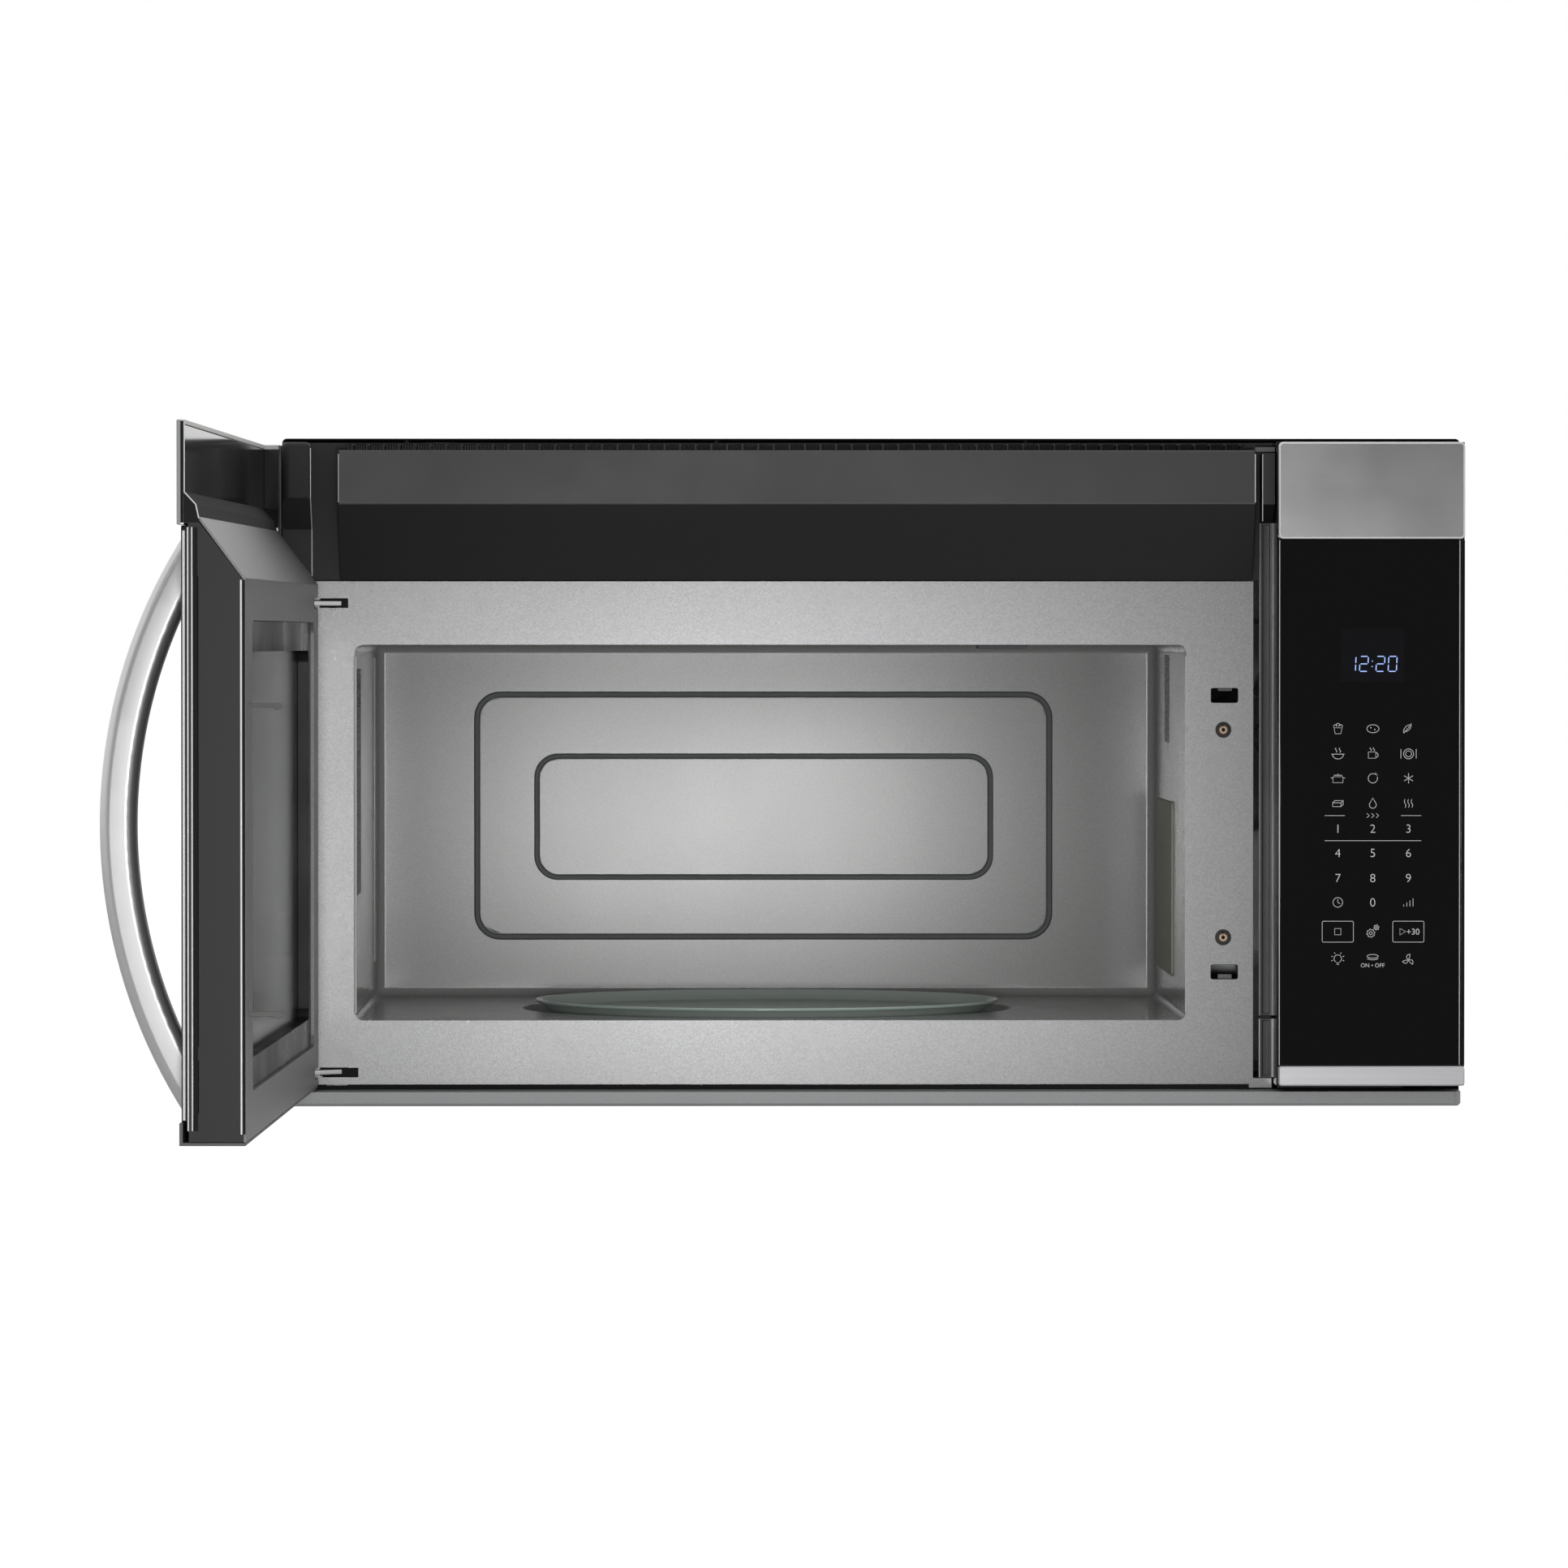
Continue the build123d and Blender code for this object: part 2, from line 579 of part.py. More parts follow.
with BuildPart() as magnetron:
    block((244, 247), (-186, -96), (92, 172))
    block((316, 319), (-186, -96), (92, 172))
    block((247, 316), (-186, -184.5), (92, 172))
    block((247, 316), (-97.5, -96), (92, 172))
    with BuildSketch(Plane.YZ.offset(226)):
        with Locations((WAVE_Y, WAVE_Z)):
            Circle(7.5)
    extrude(amount=18)
    with BuildSketch(Plane.YZ.offset(247)):
        with Locations((WAVE_Y, WAVE_Z)):
            Circle(19)
    extrude(amount=69)
    for step in range(6):
        block((258 + 9 * step, 259 + 9 * step), (-184.5, -97.5), (96, 168))
    block((319, 346), (-170, -112), (100, 164))
magnetron.part.label = "magnetron"
export_step(magnetron.part, "parts/magnetron.step")

with BuildPart() as hv_transformer:
    block((262, 352), (-330, -250), (PAN_T, 3.2))
    block((266, 348), (-322, -258), (3.2, 74))
    block((284, 330), (-340, -240), (20, 58))
hv_transformer.part.label = "hv_transformer"
export_step(hv_transformer.part, "parts/hv_transformer.step")

with BuildPart() as hv_capacitor:
    with BuildSketch(Plane.XY.offset(PAN_T)):
        with Locations((306, -214)):
            SlotOverall(54, 34)
    extrude(amount=78)
    with Locations((296, -214, 84), (316, -214, 84)):
        Cylinder(4, 10)
hv_capacitor.part.label = "hv_capacitor"
export_step(hv_capacitor.part, "parts/hv_capacitor.step")

FAN_X = 315.0
FAN_Z = 250.0
FAN_Y = -46.0
FAN_R = 50.0

with BuildPart() as cooling_shroud:
    block((256, 379), (-64, -REAR_T), (189, 311))
    block((258, 377), (-62, 0), (191, 309), mode=Mode.SUBTRACT)
    with BuildSketch(Plane.XZ.offset(60)):
        with Locations((FAN_X, FAN_Z)):
            Circle(FAN_R + 2)
    extrude(amount=8, mode=Mode.SUBTRACT)
    # strap across the back, with the fan motor on it
    block((256, 379), (-20, -18), (242, 258))
    with BuildSketch(Plane.XZ.offset(18)):
        with Locations((FAN_X, FAN_Z)):
            Circle(20)
    extrude(amount=18)
    with BuildSketch(Plane.XZ.offset(16)):
        with Locations((FAN_X, FAN_Z)):
            Circle(2.56)
    extrude(amount=24, mode=Mode.SUBTRACT)
cooling_shroud.part.label = "cooling_shroud"
export_step(cooling_shroud.part, "parts/cooling_shroud.step")

with BuildPart() as cooling_fan:
    with BuildSketch(Plane.XZ.offset(-FAN_Y - 8)):
        with Locations((FAN_X, FAN_Z)):
            Circle(13)
    extrude(amount=16)
    with BuildSketch(Plane.XZ.offset(22)):
        with Locations((FAN_X, FAN_Z)):
            Circle(2.5)
    extrude(amount=20)
    with Locations((FAN_X, FAN_Y, FAN_Z)):
        with Locations(Rotation(90, 0, 0)):
            with PolarLocations(29.5, 7):
                Box(37, 20, 1.6, rotation=(32, 0, 0))
cooling_fan.part.label = "cooling_fan"
export_step(cooling_fan.part, "parts/cooling_fan.step")

# ======================================================================
# Hood blower over the cavity
# ======================================================================
BLOW_Y = -75.0
BLOW_Z = 358.0
SCROLL_R = 56.0
WHEEL_R = 47.0
WHEEL_IN = 39.0
WHEEL_L = 78.0
WHEEL_X = 82.0
BLADES = 26
BLOW_HALF = 131.0

with BuildPart() as blower_housing:
    with BuildSketch(Plane.YZ.offset(-BLOW_HALF)):
        with Locations((BLOW_Y, BLOW_Z)):
            Circle(SCROLL_R)
        with Locations((-100, BLOW_Z)):
            Rectangle(86.5, HEIGHT - SHEET - BLOW_Z, align=(Align.MIN, Align.MIN))
    extrude(amount=2 * BLOW_HALF)
    offset(amount=-1.2, openings=blower_housing.faces().sort_by(Axis.Z)[-1])
    with BuildSketch(Plane.YZ.offset(-BLOW_HALF - 1)):
        with Locations((BLOW_Y, BLOW_Z)):
            Circle(36)
    extrude(amount=2 * BLOW_HALF + 2, mode=Mode.SUBTRACT)
    # feet on the cavity roof
    for x in (-110, 110):
        block((x - 8, x + 8), (-82, -68), (CAV_Z1 + CAV_T, BLOW_Z - SCROLL_R + 0.8))
blower_housing.part.label = "blower_housing"
export_step(blower_housing.part, "parts/blower_housing.step")

with BuildPart() as blower_motor:
    with BuildSketch(Plane.YZ.offset(-30)):
        with Locations((BLOW_Y, BLOW_Z)):
            Circle(33)
    extrude(amount=60)
    chamfer(blower_motor.edges().filter_by(GeomType.CIRCLE), length=4)
    block((-14, 14), (BLOW_Y - 9, BLOW_Y + 9), (BLOW_Z - SCROLL_R + 2.2, BLOW_Z))
    with BuildSketch(Plane.YZ.offset(-32)):
        with Locations((BLOW_Y, BLOW_Z)):
            Circle(4.06)
    extrude(amount=64, mode=Mode.SUBTRACT)
blower_motor.part.label = "blower_motor"
export_step(blower_motor.part, "parts/blower_motor.step")

with BuildPart() as blower_wheels:
    with BuildSketch(Plane.YZ.offset(-WHEEL_X - 20)):
        with Locations((BLOW_Y, BLOW_Z)):
            Circle(4)
    extrude(amount=2 * WHEEL_X + 40)
    for side in (-1, 1):
        # disc that carries the blades, next to the motor
        with BuildSketch(Plane.YZ.offset(side * 42)):
            with Locations((BLOW_Y, BLOW_Z)):
                Circle(WHEEL_R)
        extrude(amount=side * 1.6)
        with BuildSketch(Plane.YZ.offset(side * 42)):
            with Locations((BLOW_Y, BLOW_Z)):
                Circle(10)
        extrude(amount=side * 18)
        # forward-curved blades and the end ring
        with BuildSketch(Plane.YZ.offset(side * 42)):
            with Locations((BLOW_Y, BLOW_Z)):
                with PolarLocations((WHEEL_R + WHEEL_IN) / 2, BLADES):
                    Rectangle(8.4, 1.0, rotation=38)
        extrude(amount=side * WHEEL_L)
        with BuildSketch(Plane.YZ.offset(side * (42 + WHEEL_L - 2.4))):
            with Locations((BLOW_Y, BLOW_Z)):
                Circle(WHEEL_R)
                Circle(WHEEL_IN, mode=Mode.SUBTRACT)
        extrude(amount=side * 2.4)
blower_wheels.part.label = "blower_wheels"
export_step(blower_wheels.part, "parts/blower_wheels.step")

# ======================================================================
# Turntable
# ======================================================================
TRAY_AXIS = Axis((TRAY_X, TRAY_Y, 0), (0, 0, 1))
RING_R = 86.0
ROLLER_R = 5.7
ROLLER_Z = (WELL_FLOOR + TRAY_BOTTOM) / 2
ROLLER_IN = 95.0
ROLLER_OUT = 102.0
AXLE_R = 1.5

with BuildPart() as turntable_motor:
    with BuildSketch(Plane.XY.offset(WELL_FLOOR - 1 - 2)):
        with Locations((TRAY_X, TRAY_Y)):
            SlotOverall(76, 18)
            Circle(24)
    extrude(amount=2)
    with BuildSketch(Plane.XY.offset(WELL_FLOOR - 1 - 17)):
        with Locations((TRAY_X, TRAY_Y)):
            Circle(24)
    extrude(amount=15)
    with Locations((TRAY_X, TRAY_Y, 30)):
        Cylinder(3.56, 40, mode=Mode.SUBTRACT)
turntable_motor.part.label = "turntable_motor"
export_step(turntable_motor.part, "parts/turntable_motor.step")

with BuildPart() as drive_coupler:
    with Locations((TRAY_X, TRAY_Y, 32)):
        Cylinder(3.5, 20)
    with Locations((TRAY_X, TRAY_Y, 40)):
        Cylinder(8, 3.6)
    # three lobes that fit between the lugs under the tray
    with BuildSketch(Plane.XY.offset(41)):
        with Locations((TRAY_X, TRAY_Y)):
            Circle(8)
            with PolarLocations(8, 3):
                Circle(5)
    extrude(amount=TRAY_BOTTOM - 41)
drive_coupler.part.label = "drive_coupler"
export_step(drive_coupler.part, "parts/drive_coupler.step")

with BuildPart() as glass_tray:
    with BuildSketch(Plane.XZ.offset(-TRAY_Y)):
        with BuildLine():
            Polyline(
                (TRAY_X, TRAY_BOTTOM),
                (TRAY_X + 136, TRAY_BOTTOM),
                (TRAY_X + 144, TRAY_BOTTOM + 2.2),
                (TRAY_X + TRAY_R - 2.2, TRAY_RIM - 2.0),
                (TRAY_X + TRAY_R, TRAY_RIM - 0.8),
                (TRAY_X + TRAY_R, TRAY_RIM),
                (TRAY_X + TRAY_R - 3, TRAY_RIM),
                (TRAY_X + TRAY_R - 5.4, TRAY_RIM - 1.4),
                (TRAY_X + 142, TRAY_BOTTOM + TRAY_T + 1.4),
                (TRAY_X + 135, TRAY_BOTTOM + TRAY_T),
                (TRAY_X, TRAY_BOTTOM + TRAY_T),
                close=True,
            )
        make_face()
    revolve(axis=TRAY_AXIS, revolution_arc=360)
    # three lugs under the tray, between the lobes of the coupler
    with BuildSketch(Plane.XY.offset(TRAY_BOTTOM - 4)):
        with Locations((TRAY_X, TRAY_Y)):
            with PolarLocations(12.5, 3, start_angle=60):
                Circle(3)
    extrude(amount=4)
glass_tray.part.label = "glass_tray"
export_step(glass_tray.part, "parts/glass_tray.step")

with BuildPart() as roller_ring:
    with BuildSketch(Plane.XY.offset(ROLLER_Z - 2.5)):
        with Locations((TRAY_X, TRAY_Y)):
            Circle(RING_R + 6)
            Circle(RING_R - 6, mode=Mode.SUBTRACT)
    extrude(amount=5)
    with Locations((TRAY_X, TRAY_Y, ROLLER_Z)):
        with PolarLocations(98, 3):
            Cylinder(AXLE_R, 13, rotation=(0, 90, 0))
        with PolarLocations(104, 3):
            Cylinder(2.6, 1.6, rotation=(0, 90, 0))
roller_ring.part.label = "roller_ring"
export_step(roller_ring.part, "parts/roller_ring.step")

for number in (1, 2, 3):
    turn = 120 * (number - 1)
    middle = (ROLLER_IN + ROLLER_OUT) / 2
    x = TRAY_X + middle * cos(radians(turn))
    y = TRAY_Y + middle * sin(radians(turn))
    with BuildPart() as roller:
        with Locations(Location((x, y, ROLLER_Z), (0, 0, turn))):
            Cylinder(ROLLER_R, ROLLER_OUT - ROLLER_IN, rotation=(0, 90, 0))
            Cylinder(AXLE_R + 0.06, 10, rotation=(0, 90, 0), mode=Mode.SUBTRACT)
    roller.part.label = f"roller_{number}"
    export_step(roller.part, f"parts/roller_{number}.step")

# ======================================================================
# Underside
# ======================================================================
for side, name in ((-1, "grease_filter_left"), (1, "grease_filter_right")):
    with BuildPart() as grease_filter:
        with BuildSketch(Plane.XY.offset(0.4)):
            with Locations((side * FILTER_X, FILTER_Y)):
                RectangleRounded(FILTER_W, FILTER_D, 5.4)
        extrude(amount=7)
        # the mesh lies between the two lips of the frame
        with BuildSketch(Plane.XY.offset(0.4)):
            with Locations((side * FILTER_X, FILTER_Y)):
                RectangleRounded(FILTER_W - 14, FILTER_D - 14, 3)
        extrude(amount=1.2, mode=Mode.SUBTRACT)
        with BuildSketch(Plane.XY.offset(7.4)):
            with Locations((side * FILTER_X, FILTER_Y)):
                RectangleRounded(FILTER_W - 14, FILTER_D - 14, 3)
        extrude(amount=-1.2, mode=Mode.SUBTRACT)
    grease_filter.part.label = name
    export_step(grease_filter.part, f"parts/{name}.step")

LAMP_HINGE_Y = LAMP_Y + LAMP_D / 2 - 2.5
LAMP_HINGE_Z = 1.4

with BuildPart() as lamp_cover:
    with BuildSketch(Plane.XY.offset(0.2)):
        with Locations((0, LAMP_Y)):
            RectangleRounded(LAMP_W, LAMP_D, 3.5)
    extrude(amount=2)
    # notches for the two ears, and the pins that turn in them
    for x in (-39, 39):
        block((x - 1.6, x + 1.6), (LAMP_HINGE_Y - 2.6, LAMP_HINGE_Y + 4), (0, 3), mode=Mode.SUBTRACT)
    with Locations((-39, LAMP_HINGE_Y, LAMP_HINGE_Z), (39, LAMP_HINGE_Y, LAMP_HINGE_Z)):
        Cylinder(1.2, 8, rotation=(0, 90, 0))
lamp_cover.part.label = "lamp_cover"
export_step(lamp_cover.part, "parts/lamp_cover.step")

with BuildPart() as cooktop_lamp:
    # reflector box over the window, with the bulb and its socket
    block((-54, 54), (-369, -319), (9.6, 30))
    block((-52, 52), (-367, -321), (9, 28.6), mode=Mode.SUBTRACT)
    block((-53, -36), (-352, -336), (14, 28.8))
    with Locations((-16, -344, 21)):
        Cylinder(6, 40, rotation=(0, 90, 0))
    # legs that stand on the tray of the base
    for x in (-58, 54):
        block((x, x + 4), (-354, -334), (PAN_T, 14))
    # ears that carry the cover
    for x in (-40, 38):
        block((x, x + 2), (LAMP_HINGE_Y - 2, LAMP_HINGE_Y + 2), (0.2, 11))
    with Locations((0, LAMP_HINGE_Y, LAMP_HINGE_Z)):
        Cylinder(1.26, 90, rotation=(0, 90, 0), mode=Mode.SUBTRACT)
cooktop_lamp.part.label = "cooktop_lamp"
export_step(cooktop_lamp.part, "parts/cooktop_lamp.step")

# ======================================================================
# Fixing hardware of the cabinet
# ======================================================================
with BuildPart() as cord_gland:
    with Locations((CORD_X, CORD_Y, HEIGHT + 1)):
        Cylinder(GLAND_R + 3, 2)
    with Locations((CORD_X, CORD_Y, HEIGHT - 7)):
        Cylinder(GLAND_R, 14)
    with Locations((CORD_X, CORD_Y, HEIGHT - 6)):
        Cylinder(4.5, 20, mode=Mode.SUBTRACT)
cord_gland.part.label = "cord_gland"
export_step(cord_gland.part, "parts/cord_gland.step")

with BuildPart() as weld_nuts:
    for x in (-BOLT_X, BOLT_X):
        block((x - 9, x + 9), (BOLT_Y - 9, BOLT_Y + 9), (HEIGHT - SHEET - 8, HEIGHT - SHEET))
        with Locations((x, BOLT_Y, HEIGHT - 5)):
            Cylinder(BOLT_R, 12, mode=Mode.SUBTRACT)
weld_nuts.part.label = "weld_nuts"
export_step(weld_nuts.part, "parts/weld_nuts.step")

with BuildPart() as cabinet_screws:
    for x, y in SCREW_PLACES:
        with Locations((x, y, HEIGHT - SHEET / 2)):
            Cone(2.0, 4.1, 0.9)
        with Locations((x, y, HEIGHT - 3.2)):
            Cylinder(2.0, 5.6)
cabinet_screws.part.label = "cabinet_screws"
export_step(cabinet_screws.part, "parts/cabinet_screws.step")

# ======================================================================
# Door, built closed
# ======================================================================
APERTURE_X = (-318.0, 188.0)
APERTURE_Z = (55.0, 296.0)
RECESS_X = (CAV_LEFT, CAV_RIGHT)
RECESS_Z = (40.0, 311.0)
COVER_X = (-315.0, 185.0)
COVER_Z = (58.0, 293.0)
POCKET_X = (-381.0, HINGE_X + 32.0)
POCKET_Y = (HINGE_Y - 6.6, depth(DOOR_T) + 1)
HANDLE_X = 216.0
HANDLE_W = 22.0
HANDLE_SCREW_Z = (44.0, 344.0)


def hinge_pockets():
    """Cut the room in which the two arms turn."""
    for z in ARM_Z:
        block(POCKET_X, POCKET_Y, (z - 3.7, z + 3.7), mode=Mode.SUBTRACT)


with BuildPart() as door_body:
    with BuildSketch(Plane.YZ.offset(-378.4)):
        with BuildLine():
            Polyline(
                (depth(6.5), 13.4),
                (depth(37.8), 13.4),
                (depth(37.8), 334.3),
                (depth(12.6), 367.5),
                (depth(10.8), 376.7),
                (depth(4.2), 383.7),
                (depth(4.2), 422.5),
                (depth(1.2), 422.5),
                (depth(1.2), 366.0),
                (depth(6.5), 366.0),
                close=True,
            )
        make_face()
    extrude(amount=DOOR_RIGHT + 378.4)
    fillet(edge_at(door_body, -378.4, depth(37.8)), radius=9)
    # window
    block(APERTURE_X, (depth(0), depth(40)), APERTURE_Z, mode=Mode.SUBTRACT)
    # the carrier is open towards the cavity, with walls of 2.5
    block((-374.0, -320.5), (depth(9), depth(40)), (16, 332), mode=Mode.SUBTRACT)
    block((190.5, 254.1), (depth(9), depth(40)), (16, 332), mode=Mode.SUBTRACT)
    block((-322, 192), (depth(9), depth(40)), (16, 52.5), mode=Mode.SUBTRACT)
    block((-322, 192), (depth(9), depth(40)), (298.5, 332), mode=Mode.SUBTRACT)
    # lower edge of the room under the inner trim ring
    block(
        (RECESS_X[0] - 1.4, RECESS_X[1] + 1.4),
        (depth(29.6), depth(40)),
        (RECESS_Z[0] - 1.4, RECESS_Z[1] + 1.4),
        mode=Mode.SUBTRACT,
    )
    # groove along the free edge
    block((DOOR_RIGHT - 1, DOOR_RIGHT + 1), (depth(9), depth(12.2)), (30, 60), mode=Mode.SUBTRACT)
    block((DOOR_RIGHT - 1, DOOR_RIGHT + 1), (depth(9), depth(12.2)), (68, 336), mode=Mode.SUBTRACT)
    # lining of the return at the hinge end of the top strip
    block((-378.4, -376.9), (depth(3), depth(13.4)), (372, 422.5))
    # room for the end of the top strip
    block((DOOR_RIGHT - 1.4, DOOR_RIGHT + 1), (depth(0), depth(4.4)), (364, 424), mode=Mode.SUBTRACT)
    # bosses round the hinge pins
    for z in ARM_Z:
        low = 13.4 if z < 100 else z - 14
        with BuildSketch(Plane.XY.offset(low)):
            with Locations((HINGE_X, HINGE_Y)):
                Circle(5.6)
        extrude(amount=z + 14 - low)
    hinge_pockets()
    with Locations((HINGE_X, HINGE_Y, ARM_Z[0] + 2), (HINGE_X, HINGE_Y, ARM_Z[1])):
        Cylinder(2.5, 19, mode=Mode.SUBTRACT)
    with BuildSketch(Plane.XZ.offset(-depth(0))):
        with Locations((HANDLE_X, HANDLE_SCREW_Z[0]), (HANDLE_X, HANDLE_SCREW_Z[1])):
            Circle(2.6)
    extrude(amount=-12, mode=Mode.SUBTRACT)
    with BuildSketch(Plane.XZ.offset(-depth(9))):
        with Locations((HANDLE_X, HANDLE_SCREW_Z[1])):
            Circle(5.2)
    extrude(amount=-31, mode=Mode.SUBTRACT)
swing_open(door_body)
door_body.part.label = "door_body"
export_step(door_body.part, "parts/door_body.step")

with BuildPart() as door_glass:
    with BuildSketch(Plane.XZ.offset(-depth(GLASS_T0 + GLASS_T))):
        with Locations(((-379 + 256) / 2, (24.8 + 364.9) / 2)):
            RectangleRounded(635, 340.1, 2)
        with Locations((HANDLE_X, HANDLE_SCREW_Z[0]), (HANDLE_X, HANDLE_SCREW_Z[1])):
            Circle(4.2, mode=Mode.SUBTRACT)
    extrude(amount=GLASS_T)
swing_open(door_glass)
door_glass.part.label = "door_glass"
export_step(door_glass.part, "parts/door_glass.step")

with BuildPart() as door_top_trim:
    block((DOOR_LEFT, DOOR_RIGHT), (depth(0), depth(14)), (TRIM_Z0, DOOR_Z1))
    fillet(door_top_trim.faces().sort_by(Axis.Y)[0].edges(), radius=1.0)
    block(
        (-378.8, DOOR_RIGHT - 1.2),
        (depth(1.2), depth(15)),
        (TRIM_Z0 - 1, DOOR_Z1 - 1.2),
        mode=Mode.SUBTRACT,
    )
    block((-381, -378), (depth(12.6), depth(15)), (TRIM_Z0 - 1, 371.5), mode=Mode.SUBTRACT)
    # only the hinge end keeps its full return
    block((-378.8, DOOR_RIGHT + 1), (depth(4.2), depth(15)), (TRIM_Z0 - 1, DOOR_Z1 + 1), mode=Mode.SUBTRACT)
swing_open(door_top_trim)
door_top_trim.part.label = "door_top_trim"
export_step(door_top_trim.part, "parts/door_top_trim.step")

with BuildPart() as door_bottom_trim:
    with BuildSketch(Plane.YZ.offset(DOOR_LEFT)):
        with BuildLine():
            Polyline(
                (depth(1.2), DOOR_Z0),
                (depth(39.0), DOOR_Z0),
                (depth(39.0), 13.2),
                (depth(3.2), 13.2),
                (depth(3.2), 24.4),
                (depth(1.2), 24.4),
                close=True,
            )
        make_face()
    extrude(amount=DOOR_RIGHT - DOOR_LEFT)
    fillet(edge_at(door_bottom_trim, DOOR_LEFT, depth(39.0)), radius=HINGE_R)
swing_open(door_bottom_trim)
door_bottom_trim.part.label = "door_bottom_trim"
export_step(door_bottom_trim.part, "parts/door_bottom_trim.step")

with BuildPart() as door_inner_frame:
    with BuildSketch(Plane.YZ.offset(DOOR_LEFT)):
        with BuildLine():
            Polyline(
                (depth(12.9), 370.0),
                (depth(DOOR_T), 335.0),
                (depth(DOOR_T), 13.4),
                (depth(12.9), 13.4),
                close=True,
            )
        make_face()
    extrude(amount=DOOR_RIGHT - DOOR_LEFT)
    fillet(edge_at(door_inner_frame, DOOR_LEFT, depth(DOOR_T)), radius=HINGE_R)
    # hollow it to a folded sheet that keeps its hinge-side return
    with BuildSketch(Plane.YZ.offset(DOOR_LEFT + 1.5)):
        with BuildLine():
            Polyline(
                (depth(10), 371.7),
                (depth(DOOR_T - SILVER_T), 334.4),
                (depth(DOOR_T - SILVER_T), 10),
                (depth(10), 10),
                close=True,
            )
        make_face()
    hollow = extrude(amount=DOOR_RIGHT - DOOR_LEFT, mode=Mode.PRIVATE)
    hollow = hollow.fillet(
        HINGE_R - SILVER_T,
        hollow.edges().filter_by(
            lambda e: abs(e.center().X - DOOR_LEFT - 1.5) < 0.1
            and abs(e.center().Y - depth(DOOR_T - SILVER_T)) < 0.1
        ),
    )
    add(hollow, mode=Mode.SUBTRACT)
    # window recess with its upright rim
    with BuildSketch(Plane.XZ.offset(-depth(DOOR_T) - 1)):
        with Locations((sum(RECESS_X) / 2, sum(RECESS_Z) / 2)):
            RectangleRounded(RECESS_X[1] - RECESS_X[0], RECESS_Z[1] - RECESS_Z[0], 8)
    extrude(amount=4, mode=Mode.SUBTRACT)
    with BuildSketch(Plane.XZ.offset(-depth(DOOR_T - SILVER_T))):
        with Locations((sum(RECESS_X) / 2, sum(RECESS_Z) / 2)):
            RectangleRounded(RECESS_X[1] - RECESS_X[0] + 2, RECESS_Z[1] - RECESS_Z[0] + 2, 9)
            RectangleRounded(RECESS_X[1] - RECESS_X[0], RECESS_Z[1] - RECESS_Z[0], 8, mode=Mode.SUBTRACT)
    extrude(amount=6)
    # slits for the two hooks
    with BuildSketch(Plane.XZ.offset(-depth(DOOR_T) - 1)):
        with Locations((LATCH_X, 85.6), (LATCH_X, 262.1)):
            SlotOverall(21, 4.2, rotation=90)
    extrude(amount=4, mode=Mode.SUBTRACT)
    hinge_pockets()
swing_open(door_inner_frame)
door_inner_frame.part.label = "door_inner_frame"
export_step(door_inner_frame.part, "parts/door_inner_frame.step")

with BuildPart() as choke_cover:
    with BuildSketch(Plane.XZ.offset(-depth(37))):
        with Locations((sum(RECESS_X) / 2, sum(RECESS_Z) / 2)):
            RectangleRounded(RECESS_X[1] - RECESS_X[0], RECESS_Z[1] - RECESS_Z[0], 8)
        with Locations((sum(COVER_X) / 2, sum(COVER_Z) / 2)):
            RectangleRounded(COVER_X[1] - COVER_X[0], COVER_Z[1] - COVER_Z[0], 8, mode=Mode.SUBTRACT)
    extrude(amount=2)
    with BuildSketch(Plane.XZ.offset(-depth(35))):
        with Locations((sum(COVER_X) / 2, sum(COVER_Z) / 2)):
            RectangleRounded(COVER_X[1] - COVER_X[0] + 4, COVER_Z[1] - COVER_Z[0] + 4, 9)
            RectangleRounded(COVER_X[1] - COVER_X[0], COVER_Z[1] - COVER_Z[0], 8, mode=Mode.SUBTRACT)
    extrude(amount=5.2)
swing_open(choke_cover)
choke_cover.part.label = "choke_cover"
export_step(choke_cover.part, "parts/choke_cover.step")

with BuildPart() as inner_window:
    block((-317.6, 187.6), (depth(27.8), depth(29.8)), (55.4, 295.6))
swing_open(inner_window)
inner_window.part.label = "inner_window"
export_step(inner_window.part, "parts/inner_window.step")

with BuildPart() as door_screen:
    block((-317.8, 187.8), (depth(26.6), depth(27.6)), (55.2, 295.8))
swing_open(door_screen)
door_screen.part.label = "door_screen"
export_step(door_screen.part, "parts/door_screen.step")

HANDLE_OUT = 49.7
HANDLE_DEEP = 21.0
HANDLE_R = 6.5
HANDLE_BOW = 308.6
HANDLE_MID = 193.95
HANDLE_SWEEP = 36.0
HANDLE_AXIS_Y = depth(GLASS_T0) - HANDLE_OUT + HANDLE_BOW

# The bar is a round-cornered section that turns about a far axis, cut by the glass.
with BuildPart() as handle:
    section = Plane(
        origin=(HANDLE_X, HANDLE_AXIS_Y, HANDLE_MID),
        x_dir=(1, 0, 0),
        z_dir=(0, -sin(radians(HANDLE_SWEEP)), cos(radians(HANDLE_SWEEP))),
    )
    with BuildSketch(section):
        with Locations((0, HANDLE_DEEP / 2 - HANDLE_BOW)):
            RectangleRounded(HANDLE_W, HANDLE_DEEP, HANDLE_R)
    revolve(axis=Axis((0, HANDLE_AXIS_Y, HANDLE_MID), (-1, 0, 0)), revolution_arc=2 * HANDLE_SWEEP)
    block(
        (HANDLE_X - HANDLE_W, HANDLE_X + HANDLE_W),
        (depth(GLASS_T0), depth(GLASS_T0) + HANDLE_OUT),
        (0, HEIGHT),
        mode=Mode.SUBTRACT,
    )
    with BuildSketch(Plane.XZ.offset(-depth(GLASS_T0))):
        with Locations((HANDLE_X, HANDLE_SCREW_Z[0]), (HANDLE_X, HANDLE_SCREW_Z[1])):
            Circle(2.0)
    extrude(amount=6, mode=Mode.SUBTRACT)
swing_open(handle)
